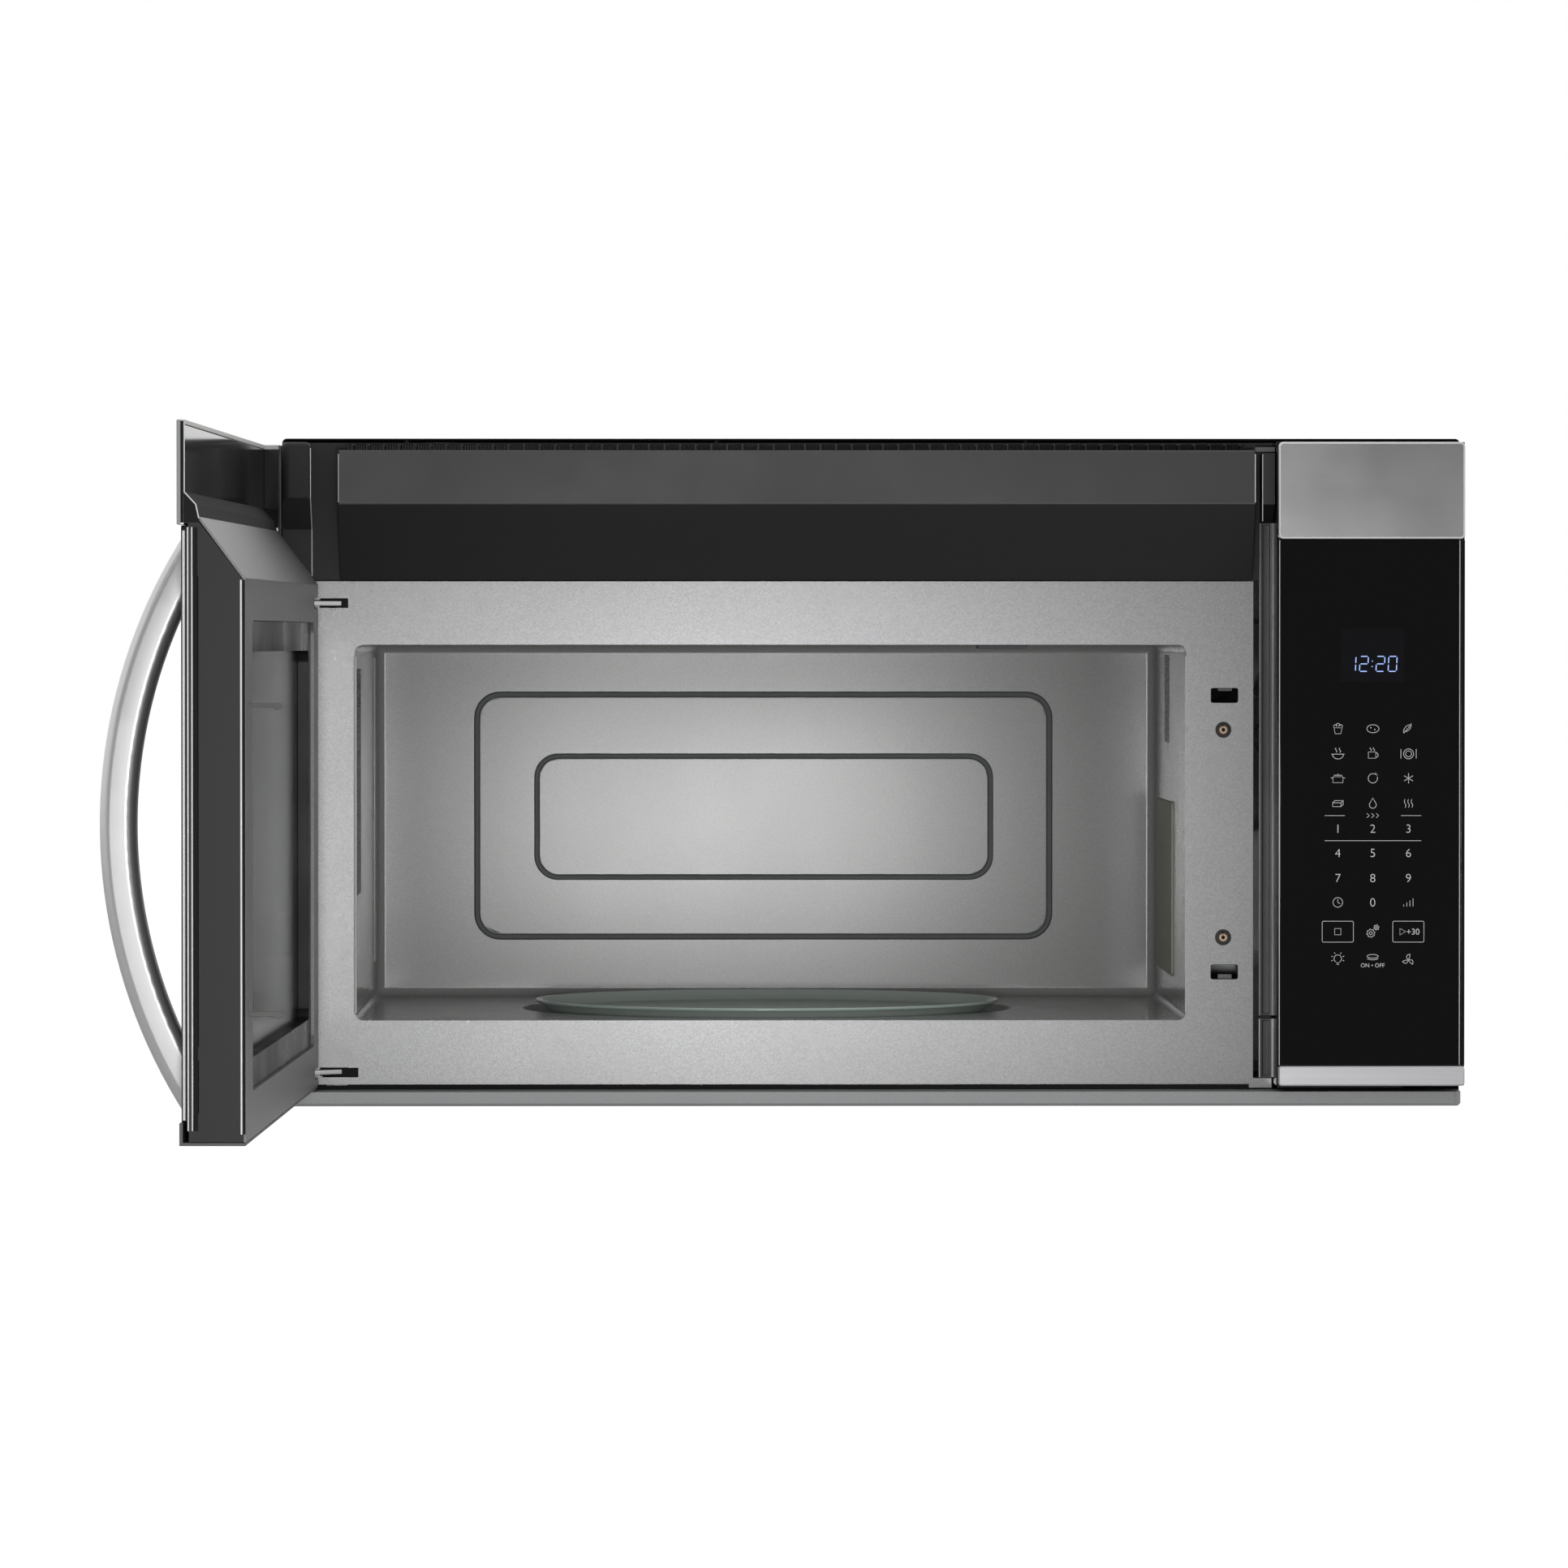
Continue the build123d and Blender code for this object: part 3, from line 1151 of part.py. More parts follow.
handle.part.label = "handle"
export_step(handle.part, "parts/handle.step")

with BuildPart() as handle_screws:
    for z in HANDLE_SCREW_Z:
        with BuildSketch(Plane.XZ.offset(-depth(9))):
            with Locations((HANDLE_X, z)):
                Circle(1.95)
        extrude(amount=12)
        with BuildSketch(Plane.XZ.offset(-depth(11))):
            with Locations((HANDLE_X, z)):
                Circle(4.5)
        extrude(amount=2)
swing_open(handle_screws)
handle_screws.part.label = "handle_screws"
export_step(handle_screws.part, "parts/handle_screws.step")

with BuildPart() as hinge_pins:
    with Locations((HINGE_X, HINGE_Y, ARM_Z[0] + 2), (HINGE_X, HINGE_Y, ARM_Z[1])):
        Cylinder(2.5, 19)
swing_open(hinge_pins)
hinge_pins.part.label = "hinge_pins"
export_step(hinge_pins.part, "parts/hinge_pins.step")

BAR_T = 3.0

with BuildPart() as latch_bar:
    with BuildSketch(Plane.YZ.offset(LATCH_X - BAR_T / 2)):
        with BuildLine():
            Polyline(
                (depth(18), 72),
                (depth(30), 72),
                (depth(30), 275),
                (depth(18), 275),
                close=True,
            )
        make_face()
        for z in HOOK_Z:
            with BuildLine():
                Polyline(
                    (depth(29), z),
                    (depth(53.4), z),
                    (depth(54.0), z - 1.2),
                    (depth(56.6), z - 1.2),
                    (depth(58.8), z + 1.0),
                    (depth(58.2), z + 2.4),
                    (depth(56.8), z + 3.0),
                    (depth(29), z + 3.0),
                    close=True,
                )
            make_face()
    extrude(amount=BAR_T)
swing_open(latch_bar)
latch_bar.part.label = "latch_bar"
export_step(latch_bar.part, "parts/latch_bar.step")

with BuildPart() as latch_spring:
    with Locations((LATCH_X, depth(24), (16 + 72) / 2)):
        Cylinder(4, 72 - 16)
        Cylinder(3, 72 - 16, mode=Mode.SUBTRACT)
swing_open(latch_spring)
latch_spring.part.label = "latch_spring"
export_step(latch_spring.part, "parts/latch_spring.step")
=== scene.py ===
from functools import cache
from math import cos, pi, radians, sin, tau

import bmesh
import bpy
from bpy.props import FloatProperty, FloatVectorProperty, PointerProperty
from mathutils import Matrix, Vector


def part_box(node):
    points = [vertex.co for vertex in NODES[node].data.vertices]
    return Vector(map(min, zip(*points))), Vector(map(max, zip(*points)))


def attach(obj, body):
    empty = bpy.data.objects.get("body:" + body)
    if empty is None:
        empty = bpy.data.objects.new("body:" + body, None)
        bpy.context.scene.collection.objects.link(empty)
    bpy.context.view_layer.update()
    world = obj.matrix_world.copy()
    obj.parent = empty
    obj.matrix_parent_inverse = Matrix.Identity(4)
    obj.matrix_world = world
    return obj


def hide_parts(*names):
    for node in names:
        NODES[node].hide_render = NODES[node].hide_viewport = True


bl_info = {
    "name": "Over the Range Microwave",
    "version": (1, 0, 0),
    "blender": (4, 5, 0),
    "location": "3D View > Sidebar > Microwave",
    "description": "Finishes, printed marks, small fittings and studio of a hood microwave",
    "category": "Object",
}

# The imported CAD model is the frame. Every size below is in millimetres unless its
# property says otherwise, and MM turns it into the scene's metres.
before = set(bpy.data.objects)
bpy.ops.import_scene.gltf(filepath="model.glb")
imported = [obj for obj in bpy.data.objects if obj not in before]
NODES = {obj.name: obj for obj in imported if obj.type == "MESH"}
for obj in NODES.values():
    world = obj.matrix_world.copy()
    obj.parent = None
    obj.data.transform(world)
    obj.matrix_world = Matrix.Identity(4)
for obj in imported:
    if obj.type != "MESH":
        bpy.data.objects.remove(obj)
MM = 0.001


def span(node, axis):
    """The low and high place of a CAD node along an axis, in millimetres."""
    low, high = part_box(node)
    return low[axis] / MM, high[axis] / MM


# the door, which the frame shows open
DOOR_OPEN = radians(91.2)
HINGE_X = -368.5
HINGE_Y = -387.0
DOOR_FRONT = -414.3
DOOR_RIGHT = 256.6
# the front planes of the panel glass and of the face frame
PANEL_GLASS_FRONT = span("panel_glass", 1)[0]
FRAME_FACE = span("front_frame", 1)[0]
# the inner faces of the oven
CAVITY_LEFT = -333.0
CAVITY_RIGHT = 203.0
CAVITY_TOP = 296.4
CAVITY_BACK = -9.0


# ======================================================================
# Settings that a user would change
# ======================================================================
def colour_setting(name, description, default):
    """A colour in the sidebar."""
    return FloatVectorProperty(
        name=name, description=description, subtype="COLOR", default=default, min=0, max=1
    )


def length_setting(name, description, default):
    """A length in the sidebar, in metres."""
    return FloatProperty(name=name, description=description, default=default, unit="LENGTH")


def power_setting(name, description, default):
    """The power of a lamp in the sidebar, in watts."""
    return FloatProperty(name=name, description=description, default=default, unit="POWER")


class StudioSettings(bpy.types.PropertyGroup):
    camera_x: length_setting("Camera X", "Sideways place of the camera", -0.1135)
    camera_y: length_setting("Camera Y", "Place of the camera in front", -5.804)
    camera_z: length_setting("Camera Z", "Height of the camera", 0.300)
    lens: FloatProperty(name="Lens", description="Focal length in millimetres", default=193.16)
    floor_z: length_setting("Floor Z", "Height of the floor", -0.34)
    floor_tone: colour_setting("Floor", "Colour of the floor", (0.82, 0.82, 0.82))
    key_power: power_setting("Key lamp", "Power of the large front lamp", 2.4)
    spot_power: power_setting("Front spot", "Power of the small front lamp", 12.0)
    sky_diffuse: FloatProperty(
        name="Sky", description="Strength of the sky on matt surfaces", default=0.50, min=0
    )


class FinishSettings(bpy.types.PropertyGroup):
    black_paint: colour_setting("Black paint", "Powder coat of the cabinet", (0.012, 0.012, 0.013))
    silver_paint: colour_setting("Silver paint", "Paint of the face frame", (0.27, 0.27, 0.274))
    enamel: colour_setting("Enamel", "Paint inside the oven", (0.42, 0.42, 0.415))
    pan_paint: colour_setting("Pan paint", "Paint of the bottom tray", (0.36, 0.365, 0.37))
    steel: colour_setting("Stainless steel", "Trims and handle", (0.66, 0.66, 0.665))
    plastic: colour_setting("Black plastic", "Satin plastic of the vent", (0.009, 0.009, 0.010))
    print_white: colour_setting("Print", "Printed marks on the glass", (0.80, 0.80, 0.82))
    clock_blue: colour_setting("Clock", "Light of the clock", (0.36, 0.52, 1.0))
    edge_soft: length_setting("Edge", "Softening of sheet edges", 0.0003)


class VentSettings(bpy.types.PropertyGroup):
    fin_pitch: length_setting("Fin pitch", "Step of the outlet fins", 0.00167)
    fin_width: length_setting("Fin width", "Thickness of one fin", 0.0008)


class CavitySettings(bpy.types.PropertyGroup):
    hole_pitch: length_setting("Hole pitch", "Step of the wall holes", 0.0042)
    hole_radius: length_setting("Hole radius", "Radius of a wall hole", 0.0011)


class PanelSettings(bpy.types.PropertyGroup):
    digit_height: length_setting("Key number", "Height of a key number", 0.0053)
    stroke: length_setting("Stroke", "Width of a printed line", 0.00038)
    clock_height: length_setting("Clock digit", "Height of a clock digit", 0.0096)
    clock_stroke: length_setting("Clock stroke", "Width of a clock segment", 0.00068)


class TraySettings(bpy.types.PropertyGroup):
    glass_tint: colour_setting("Tray glass", "Tint of the tray", (0.82, 0.93, 0.87))


# ======================================================================
# Nodes, and the groups that several finishes share
# ======================================================================
def add_node(tree, kind, values=None, **settings):
    """A shader node with its settings, and with values on its sockets."""
    node = tree.nodes.new(f"ShaderNode{kind}")
    for label, value in settings.items():
        setattr(node, label, value)
    for socket, value in (values or {}).items():
        node.inputs[socket].default_value = value
    return node


def wire(tree, *pairs):
    """Join each output to its input."""
    for output, socket in pairs:
        tree.links.new(output, socket)


def new_group(name, numbers, results):
    """A shader group that takes a vector and numbers; gives its tree and its end sockets."""
    tree = bpy.data.node_groups.new(name, "ShaderNodeTree")
    face = tree.interface
    face.new_socket(name="Vector", in_out="INPUT", socket_type="NodeSocketVector")
    for label, default in numbers.items():
        made = face.new_socket(name=label, in_out="INPUT", socket_type="NodeSocketFloat")
        made.default_value = default
    for label in results:
        face.new_socket(name=label, in_out="OUTPUT", socket_type="NodeSocketFloat")
    start, end = tree.nodes.new("NodeGroupInput"), tree.nodes.new("NodeGroupOutput")
    return tree, start.outputs, end.inputs


@cache
def brushed_grain():
    """Long scratches: noise on a vector that the material has stretched."""
    tree, given, result = new_group("Brushed Grain", {"Contrast": 0.2}, ("Tone", "Height"))
    fine = add_node(tree, "TexNoise", {"Scale": 1.0, "Detail": 3.0, "Roughness": 0.7})
    spread = add_node(tree, "MapRange", {"From Min": 0.25, "From Max": 0.75})
    low = add_node(tree, "Math", {0: 1.0}, operation="SUBTRACT")
    wire(
        tree,
        (given["Vector"], fine.inputs["Vector"]),
        (fine.outputs["Fac"], spread.inputs["Value"]),
        (given["Contrast"], low.inputs[1]),
        (low.outputs[0], spread.inputs["To Min"]),
        (spread.outputs["Result"], result["Tone"]),
        (fine.outputs["Fac"], result["Height"]),
    )
    return tree


@cache
def metal_flake():
    """Small random flakes, each a little lighter or darker."""
    tree, given, result = new_group(
        "Metal Flake", {"Scale": 900.0, "Dark": 0.85, "Light": 1.15}, ("Tone", "Height")
    )
    cells = add_node(tree, "TexVoronoi")
    pick = add_node(tree, "SeparateColor")
    spread = add_node(tree, "MapRange")
    wire(
        tree,
        (given["Vector"], cells.inputs["Vector"]),
        (given["Scale"], cells.inputs["Scale"]),
        (cells.outputs["Color"], pick.inputs["Color"]),
        (pick.outputs["Red"], spread.inputs["Value"]),
        (given["Dark"], spread.inputs["To Min"]),
        (given["Light"], spread.inputs["To Max"]),
        (spread.outputs["Result"], result["Tone"]),
        (pick.outputs["Green"], result["Height"]),
    )
    return tree


@cache
def hand_smudge():
    """Slow changes of gloss, as a used surface has."""
    tree, given, result = new_group(
        "Hand Smudge", {"Scale": 9.0, "Low": 0.30, "High": 0.36}, ("Gloss",)
    )
    cloud = add_node(tree, "TexNoise", {"Detail": 5.0, "Roughness": 0.6})
    spread = add_node(tree, "MapRange", {"From Min": 0.3, "From Max": 0.7})
    wire(
        tree,
        (given["Vector"], cloud.inputs["Vector"]),
        (given["Scale"], cloud.inputs["Scale"]),
        (cloud.outputs["Fac"], spread.inputs["Value"]),
        (given["Low"], spread.inputs["To Min"]),
        (given["High"], spread.inputs["To Max"]),
        (spread.outputs["Result"], result["Gloss"]),
    )
    return tree


@cache
def moulded_grain():
    """The fine leather grain of moulded plastic and powder coat."""
    tree, given, result = new_group("Moulded Grain", {"Scale": 1400.0}, ("Height",))
    pebbles = add_node(tree, "TexNoise", {"Detail": 2.0})
    wire(
        tree,
        (given["Vector"], pebbles.inputs["Vector"]),
        (given["Scale"], pebbles.inputs["Scale"]),
        (pebbles.outputs["Fac"], result["Height"]),
    )
    return tree


@cache
def hole_grid():
    """A square grid of round holes on the first two parts of the vector."""
    tree, given, result = new_group("Hole Grid", {"Pitch": 0.003, "Radius": 0.33}, ("Hole",))
    pitch = add_node(tree, "CombineXYZ", {"Z": 1.0})
    scaled = add_node(tree, "VectorMath", operation="DIVIDE")
    cell = add_node(tree, "VectorMath", operation="FRACTION")
    apart = add_node(tree, "SeparateXYZ")
    flat = add_node(tree, "CombineXYZ")
    reach = add_node(tree, "VectorMath", {1: (0.5, 0.5, 0.0)}, operation="DISTANCE")
    inside = add_node(tree, "Math", operation="LESS_THAN")
    wire(
        tree,
        (given["Pitch"], pitch.inputs["X"]),
        (given["Pitch"], pitch.inputs["Y"]),
        (given["Vector"], scaled.inputs[0]),
        (pitch.outputs["Vector"], scaled.inputs[1]),
        (scaled.outputs["Vector"], cell.inputs[0]),
        (cell.outputs["Vector"], apart.inputs[0]),
        (apart.outputs["X"], flat.inputs["X"]),
        (apart.outputs["Y"], flat.inputs["Y"]),
        (flat.outputs["Vector"], reach.inputs[0]),
        (reach.outputs["Value"], inside.inputs[0]),
        (given["Radius"], inside.inputs[1]),
        (inside.outputs[0], result["Hole"]),
    )
    return tree


# ======================================================================
# Finishes
# ======================================================================
class Finish:
    """A material with one Principled shader and helpers to wire it."""

    def __init__(self, name, colour, roughness, metallic=0.0, **sockets):
        self.material = bpy.data.materials.new(name)
        self.material.use_nodes = True
        self.tree = self.material.node_tree
        self.shader = self.tree.nodes["Principled BSDF"]
        self.colour = (*colour, 1.0)
        self.shader.inputs["Base Color"].default_value = self.colour
        self.shader.inputs["Roughness"].default_value = roughness
        self.shader.inputs["Metallic"].default_value = metallic
        for label, value in sockets.items():
            self.shader.inputs[label.replace("_", " ")].default_value = value

    def add(self, kind, values=None, **settings):
        return add_node(self.tree, kind, values, **settings)

    def link(self, output, socket):
        self.tree.links.new(output, socket)

    def feed(self, output, label):
        """Join an output to a socket of the shader."""
        self.link(output, self.shader.inputs[label])

    def coordinates(self, scale=(1, 1, 1), turn=(0, 0, 0)):
        """Object coordinates, turned and scaled."""
        place = self.add("TexCoord")
        mapping = self.add("Mapping", {"Scale": scale, "Rotation": turn})
        self.link(place.outputs["Object"], mapping.inputs["Vector"])
        return mapping.outputs["Vector"]

    def group(self, maker, vector, **values):
        """A shared group with this finish's own values."""
        node = self.add("Group", node_tree=maker())
        self.link(vector, node.inputs["Vector"])
        for label, value in values.items():
            node.inputs[label].default_value = value
        return node.outputs

    def tint(self, tone):
        """Multiply the base colour by a tone that changes over the surface."""
        values = {"Factor": 1.0, "A": self.colour}
        mix = self.add("Mix", values, data_type="RGBA", blend_type="MULTIPLY")
        self.link(tone, mix.inputs["B"])
        self.feed(mix.outputs["Result"], "Base Color")

    def darken(self, mask, dark):
        """Put a darker colour where a mask is set."""
        mix = self.add("Mix", {"A": self.colour, "B": (*dark, 1.0)}, data_type="RGBA")
        self.link(mask, mix.inputs["Factor"])
        self.feed(mix.outputs["Result"], "Base Color")

    def bump(self, height, strength, distance):
        """Raise the surface by a height that changes over it."""
        bump = self.add("Bump", {"Strength": strength, "Distance": distance})
        self.link(height, bump.inputs["Height"])
        self.feed(bump.outputs["Normal"], "Normal")

    def smudge(self, vector, scale, low, high):
        """Let the roughness wander between two values."""
        smudge = self.group(hand_smudge, vector, Scale=scale, Low=low, High=high)
        self.feed(smudge["Gloss"], "Roughness")


def powder_coat(name, colour, roughness):
    """Paint baked on as powder, with a fine pebble."""
    finish = Finish(name, colour, roughness)
    place = finish.coordinates()
    finish.bump(finish.group(moulded_grain, place, Scale=900.0)["Height"], 0.25, 0.00008)
    finish.smudge(place, 7.0, roughness - 0.04, roughness + 0.04)
    return finish.material


def satin_plastic(name, colour, roughness, scale=1500.0):
    """Moulded plastic with a fine grain."""
    finish = Finish(name, colour, roughness)
    place = finish.coordinates()
    finish.bump(finish.group(moulded_grain, place, Scale=scale)["Height"], 0.2, 0.00005)
    finish.smudge(place, 10.0, roughness - 0.03, roughness + 0.05)
    return finish.material


def flake_paint(name, colour, metallic, roughness, dark=0.88, light=1.12, specular=0.5):
    """Silver paint with small flakes."""
    finish = Finish(name, colour, roughness, metallic, Specular_IOR_Level=specular)
    place = finish.coordinates()
    flake = finish.group(metal_flake, place, Scale=1300.0, Dark=dark, Light=light)
    finish.tint(flake["Tone"])
    finish.bump(flake["Height"], 0.06, 0.00003)
    finish.smudge(place, 6.0, roughness - 0.008, roughness + 0.008)
    return finish.material


def brushed_steel(name, colour, roughness, scale, turn=(0, 0, 0), contrast=0.22, metallic=1.0):
    """Stainless steel with scratches along the direction that is stretched least."""
    finish = Finish(name, colour, roughness, metallic)
    grain = finish.group(brushed_grain, finish.coordinates(scale, turn), Contrast=contrast)
    finish.tint(grain["Tone"])
    finish.bump(grain["Height"], 0.12, 0.00002)
    finish.smudge(finish.coordinates(), 8.0, roughness - 0.02, roughness + 0.03)
    return finish.material


def polished(name, colour, roughness, metallic=0.0, **sockets):
    """A smooth glossy surface with faint smudges in its gloss."""
    finish = Finish(name, colour, roughness, metallic, **sockets)
    finish.smudge(finish.coordinates(), 11.0, roughness * 0.8, roughness * 1.3)
    return finish.material


def perforated_steel(name, colour):
    """The screen in the door window, with its holes shown as darker dots."""
    finish = Finish(name, colour, 0.45)
    place = finish.coordinates(turn=(pi / 2, 0, DOOR_OPEN))
    holes = finish.group(hole_grid, place, Pitch=0.0026, Radius=0.34)["Hole"]
    finish.darken(holes, (0.002, 0.002, 0.002))
    return finish.material


def woven_mesh(name, colour):
    """Layered aluminium mesh of a grease filter."""
    finish = Finish(name, colour, 0.35, 0.9)
    place = finish.coordinates(turn=(0, 0, pi / 4))
    holes = finish.group(hole_grid, place, Pitch=0.0032, Radius=0.36)["Hole"]
    finish.darken(holes, [0.35 * c for c in colour])
    finish.bump(holes, 0.6, 0.0004)
    return finish.material


def door_carrier_plastic(name, colour):
    """Satin plastic below, and a mirror finish on the part behind the top strip."""
    satin, mirror_from, mirror_to = 0.42, 0.366, 0.390
    finish = Finish(name, colour, 0.4)
    place = finish.add("TexCoord")
    apart = finish.add("SeparateXYZ")
    height = finish.add("MapRange", {"From Min": mirror_from, "From Max": mirror_to})
    ramp = finish.add("ValToRGB")
    bands = ramp.color_ramp
    bands.interpolation = "CONSTANT"
    bands.elements[0].color = (satin, satin, satin, 1)
    for at, gloss in ((0.02, 0.95), (0.76, 0.10)):
        bands.elements.new(at).color = (gloss, gloss, gloss, 1)
    bands.elements[-1].color = (0.10, 0.10, 0.10, 1)
    finish.link(place.outputs["Object"], apart.inputs[0])
    finish.link(apart.outputs["Z"], height.inputs["Value"])
    finish.link(height.outputs["Result"], ramp.inputs["Fac"])
    finish.feed(ramp.outputs["Color"], "Roughness")
    return finish.material


def plain(name, colour, roughness, **sockets):
    """A finish that is the same all over."""
    return Finish(name, colour, roughness, **sockets).material


FINISHES = {}


def build_finishes(s):
    """Every finish of the microwave, by the name that the pieces use."""
    # how far each scratch pattern is stretched, and its turn on the open door
    across, across_bright, along_bow = (5, 900, 900), (5, 700, 700), (900, 900, 9)
    door_turn = (0, 0, DOOR_OPEN)
    FINISHES.update(
        # paint, sheet and lacquer
        cabinet=powder_coat("Black Powder Coat", s.black_paint, 0.50),
        pan=flake_paint("Bottom Tray Paint", s.pan_paint, 0.2, 0.40, dark=0.96, light=1.04),
        silver=flake_paint("Silver Flake Paint", s.silver_paint, 0.50, 0.275),
        # a darker, rougher copy of the silver paint for the door's inner frame: its darker colour
        # is painted shade
        door_silver=flake_paint("Door Flake Paint", (0.25, 0.25, 0.253), 0.36, 0.40),
        enamel=flake_paint(
            "Oven Flake Enamel", s.enamel, 0.0, 0.17, dark=0.92, light=1.08, specular=0.42
        ),
        groove=satin_plastic("Pressed Groove Shade", (0.19, 0.205, 0.20), 0.5),
        zinc=brushed_steel("Zinc Sheet", (0.50, 0.51, 0.52), 0.42, (60, 60, 400)),
        mica=satin_plastic("Mica Sheet", (0.52, 0.52, 0.42), 0.5, 500.0),
        core=powder_coat("Core Lacquer", (0.10, 0.10, 0.11), 0.5),
        # plastic, rubber and felt
        plastic=satin_plastic("Satin Black Plastic", s.plastic, 0.40),
        cap=satin_plastic("End Cap Plastic", (0.020, 0.020, 0.021), 0.62),
        # grey plastic for rods that paint the highlights on the grille's edges
        light_edge=satin_plastic("Lit Plastic Edge", (0.13, 0.13, 0.132), 0.34),
        # a lighter copy of the black grille plastic: painted light on the grille's upright face
        upright=satin_plastic("Grille Face Plastic", (0.040, 0.040, 0.041), 0.34),
        seam=satin_plastic("Seam Trim Plastic", (0.040, 0.040, 0.042), 0.35),
        gloss=polished("Gloss Black Plastic", (0.008, 0.008, 0.009), 0.10),
        carrier=door_carrier_plastic("Door Carrier Plastic", (0.014, 0.0135, 0.0135)),
        choke=polished(
            "Window Surround Plastic", (0.012, 0.012, 0.013), 0.30, Specular_IOR_Level=0.2
        ),
        # white plastic of the roller ring, the rollers, the coupler and the cooling parts; it also
        # paints the highlights on the oven opening's edges and on the door's top lip
        white_plastic=satin_plastic("White Plastic", (0.72, 0.72, 0.70), 0.40),
        rubber=satin_plastic("Rubber", (0.02, 0.02, 0.02), 0.6, 700.0),
        charcoal=satin_plastic("Charcoal Felt", (0.02, 0.02, 0.02), 0.9, 400.0),
        board=satin_plastic("Circuit Board", (0.03, 0.16, 0.08), 0.4),
        # metal
        steel_flat=brushed_steel("Brushed Steel Across", s.steel, 0.205, across, contrast=0.10),
        steel_door=brushed_steel(
            "Brushed Steel on the Door", s.steel, 0.25, across, door_turn, contrast=0.10
        ),
        steel_bow=brushed_steel(
            "Brushed Steel along the Bow", s.steel, 0.34, along_bow, contrast=0.04, metallic=0.82
        ),
        # a lighter, partly matt copy of the stainless steel: painted light for the panel's bottom
        # trim, which looks brighter than the other steel
        steel_bright=brushed_steel(
            "Light Satin Steel", (0.66, 0.66, 0.68), 0.34, across_bright,
            contrast=0.12, metallic=0.65,
        ),
        steel=polished("Bright Steel", (0.60, 0.60, 0.61), 0.28, 1.0),
        dull=polished("Dull Zinc", (0.15, 0.15, 0.145), 0.45, 0.3),
        # near-white rods that paint the highlights on edges of dark parts
        bright_line=polished("Polished Edge", (0.86, 0.86, 0.87), 0.30, 0.3),
        bronze=polished("Dark Bronze", (0.045, 0.038, 0.030), 0.35, 0.6),
        brass=polished("Plated Rivet", (0.55, 0.40, 0.28), 0.34, 0.6),
        magnet=polished("Magnetron Aluminium", (0.60, 0.61, 0.62), 0.38, 0.9),
        screen=perforated_steel("Perforated Screen", (0.05, 0.05, 0.052)),
        filter=woven_mesh("Woven Aluminium", (0.66, 0.67, 0.68)),
        hole=plain("Hole Shade", (0.004, 0.004, 0.004), 0.8),
        # glass, print and light
        black_glass=polished("Black Glass", (0.0045, 0.0045, 0.005), 0.035),
        display_glass=polished("Display Window", (0.0075, 0.0075, 0.0105), 0.06),
        window=plain("Window Glass", (0.02, 0.022, 0.024), 0.20, Transmission_Weight=0.3, IOR=1.25),
        lamp_glass=plain(
            "Lamp Cover Glass", (0.92, 0.93, 0.93), 0.25, Transmission_Weight=1.0, IOR=1.50
        ),
        print=plain("White Print", s.print_white, 0.5),
        clock=plain(
            "Clock Segment", (0.02, 0.02, 0.03), 0.4,
            Emission_Color=(*s.clock_blue, 1.0), Emission_Strength=1.05,
        ),
    )


# ======================================================================
# Modelling helpers
# ======================================================================
SHARP = 30  # degrees over which an edge is softened
SMOOTH = 38  # degrees up to which faces are shaded as one
TOUCHING = 1e-7  # metres


def bevel(bm, edges, width, segments):
    """Cut or round edges to a width in metres."""
    bmesh.ops.bevel(
        bm, geom=edges, offset=width, offset_type="OFFSET", segments=segments,
        profile=0.5, affect="EDGES", material=-1, clamp_overlap=False,
    )


def soften(bm, width):
    """Round the sharp edges of a mesh, to a width in metres."""
    sharp = [e for e in bm.edges if e.is_manifold and e.calc_face_angle(0.0) > radians(SHARP)]
    bevel(bm, sharp, width, 2)


def place_piece(name, bm, body, material, smooth=SMOOTH, weighted=True):
    """Turn a bmesh into a finished piece that rides on a body."""
    mesh = bpy.data.meshes.new(name)
    bm.to_mesh(mesh)
    bm.free()
    mesh.shade_smooth()
    mesh.set_sharp_from_angle(angle=radians(smooth))
    piece = bpy.data.objects.new(name, mesh)
    bpy.context.scene.collection.objects.link(piece)
    mesh.materials.append(FINISHES[material])
    if weighted:
        normals = piece.modifiers.new("Flat faces", "WEIGHTED_NORMAL")
        normals.keep_sharp = True
    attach(piece, body)
    return piece


def finish_node(node, body, material, edge=None, smooth=SMOOTH):
    """A merged copy of a CAD node with softened edges, which stands for the node."""
    edge = bpy.context.scene.microwave_finish.edge_soft if edge is None else edge * MM
    bm = bmesh.new()
    bm.from_mesh(NODES[node].data)
    bmesh.ops.remove_doubles(bm, verts=bm.verts, dist=2e-6)
    if edge:
        bmesh.ops.dissolve_limit(bm, angle_limit=radians(0.5), verts=bm.verts, edges=bm.edges)
        soften(bm, edge)
    piece = place_piece(f"{node}_finish", bm, body, material, smooth)
    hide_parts(node)


def paint_nodes(finishes):
    """Give CAD nodes their finishes and leave their meshes as they are."""
    for node, material in finishes.items():
        data = NODES[node].data
        data.materials.clear()
        data.materials.append(FINISHES[material])


def add_box(bm, x, y, z):
    """A box that spans three (low, high) pairs in millimetres."""
    made = bmesh.ops.create_cube(bm, size=1.0)["verts"]
    size = Vector([(high - low) * MM for low, high in (x, y, z)])
    middle = Vector([(high + low) / 2 * MM for low, high in (x, y, z)])
    bmesh.ops.scale(bm, vec=size, verts=made)
    bmesh.ops.translate(bm, vec=middle, verts=made)


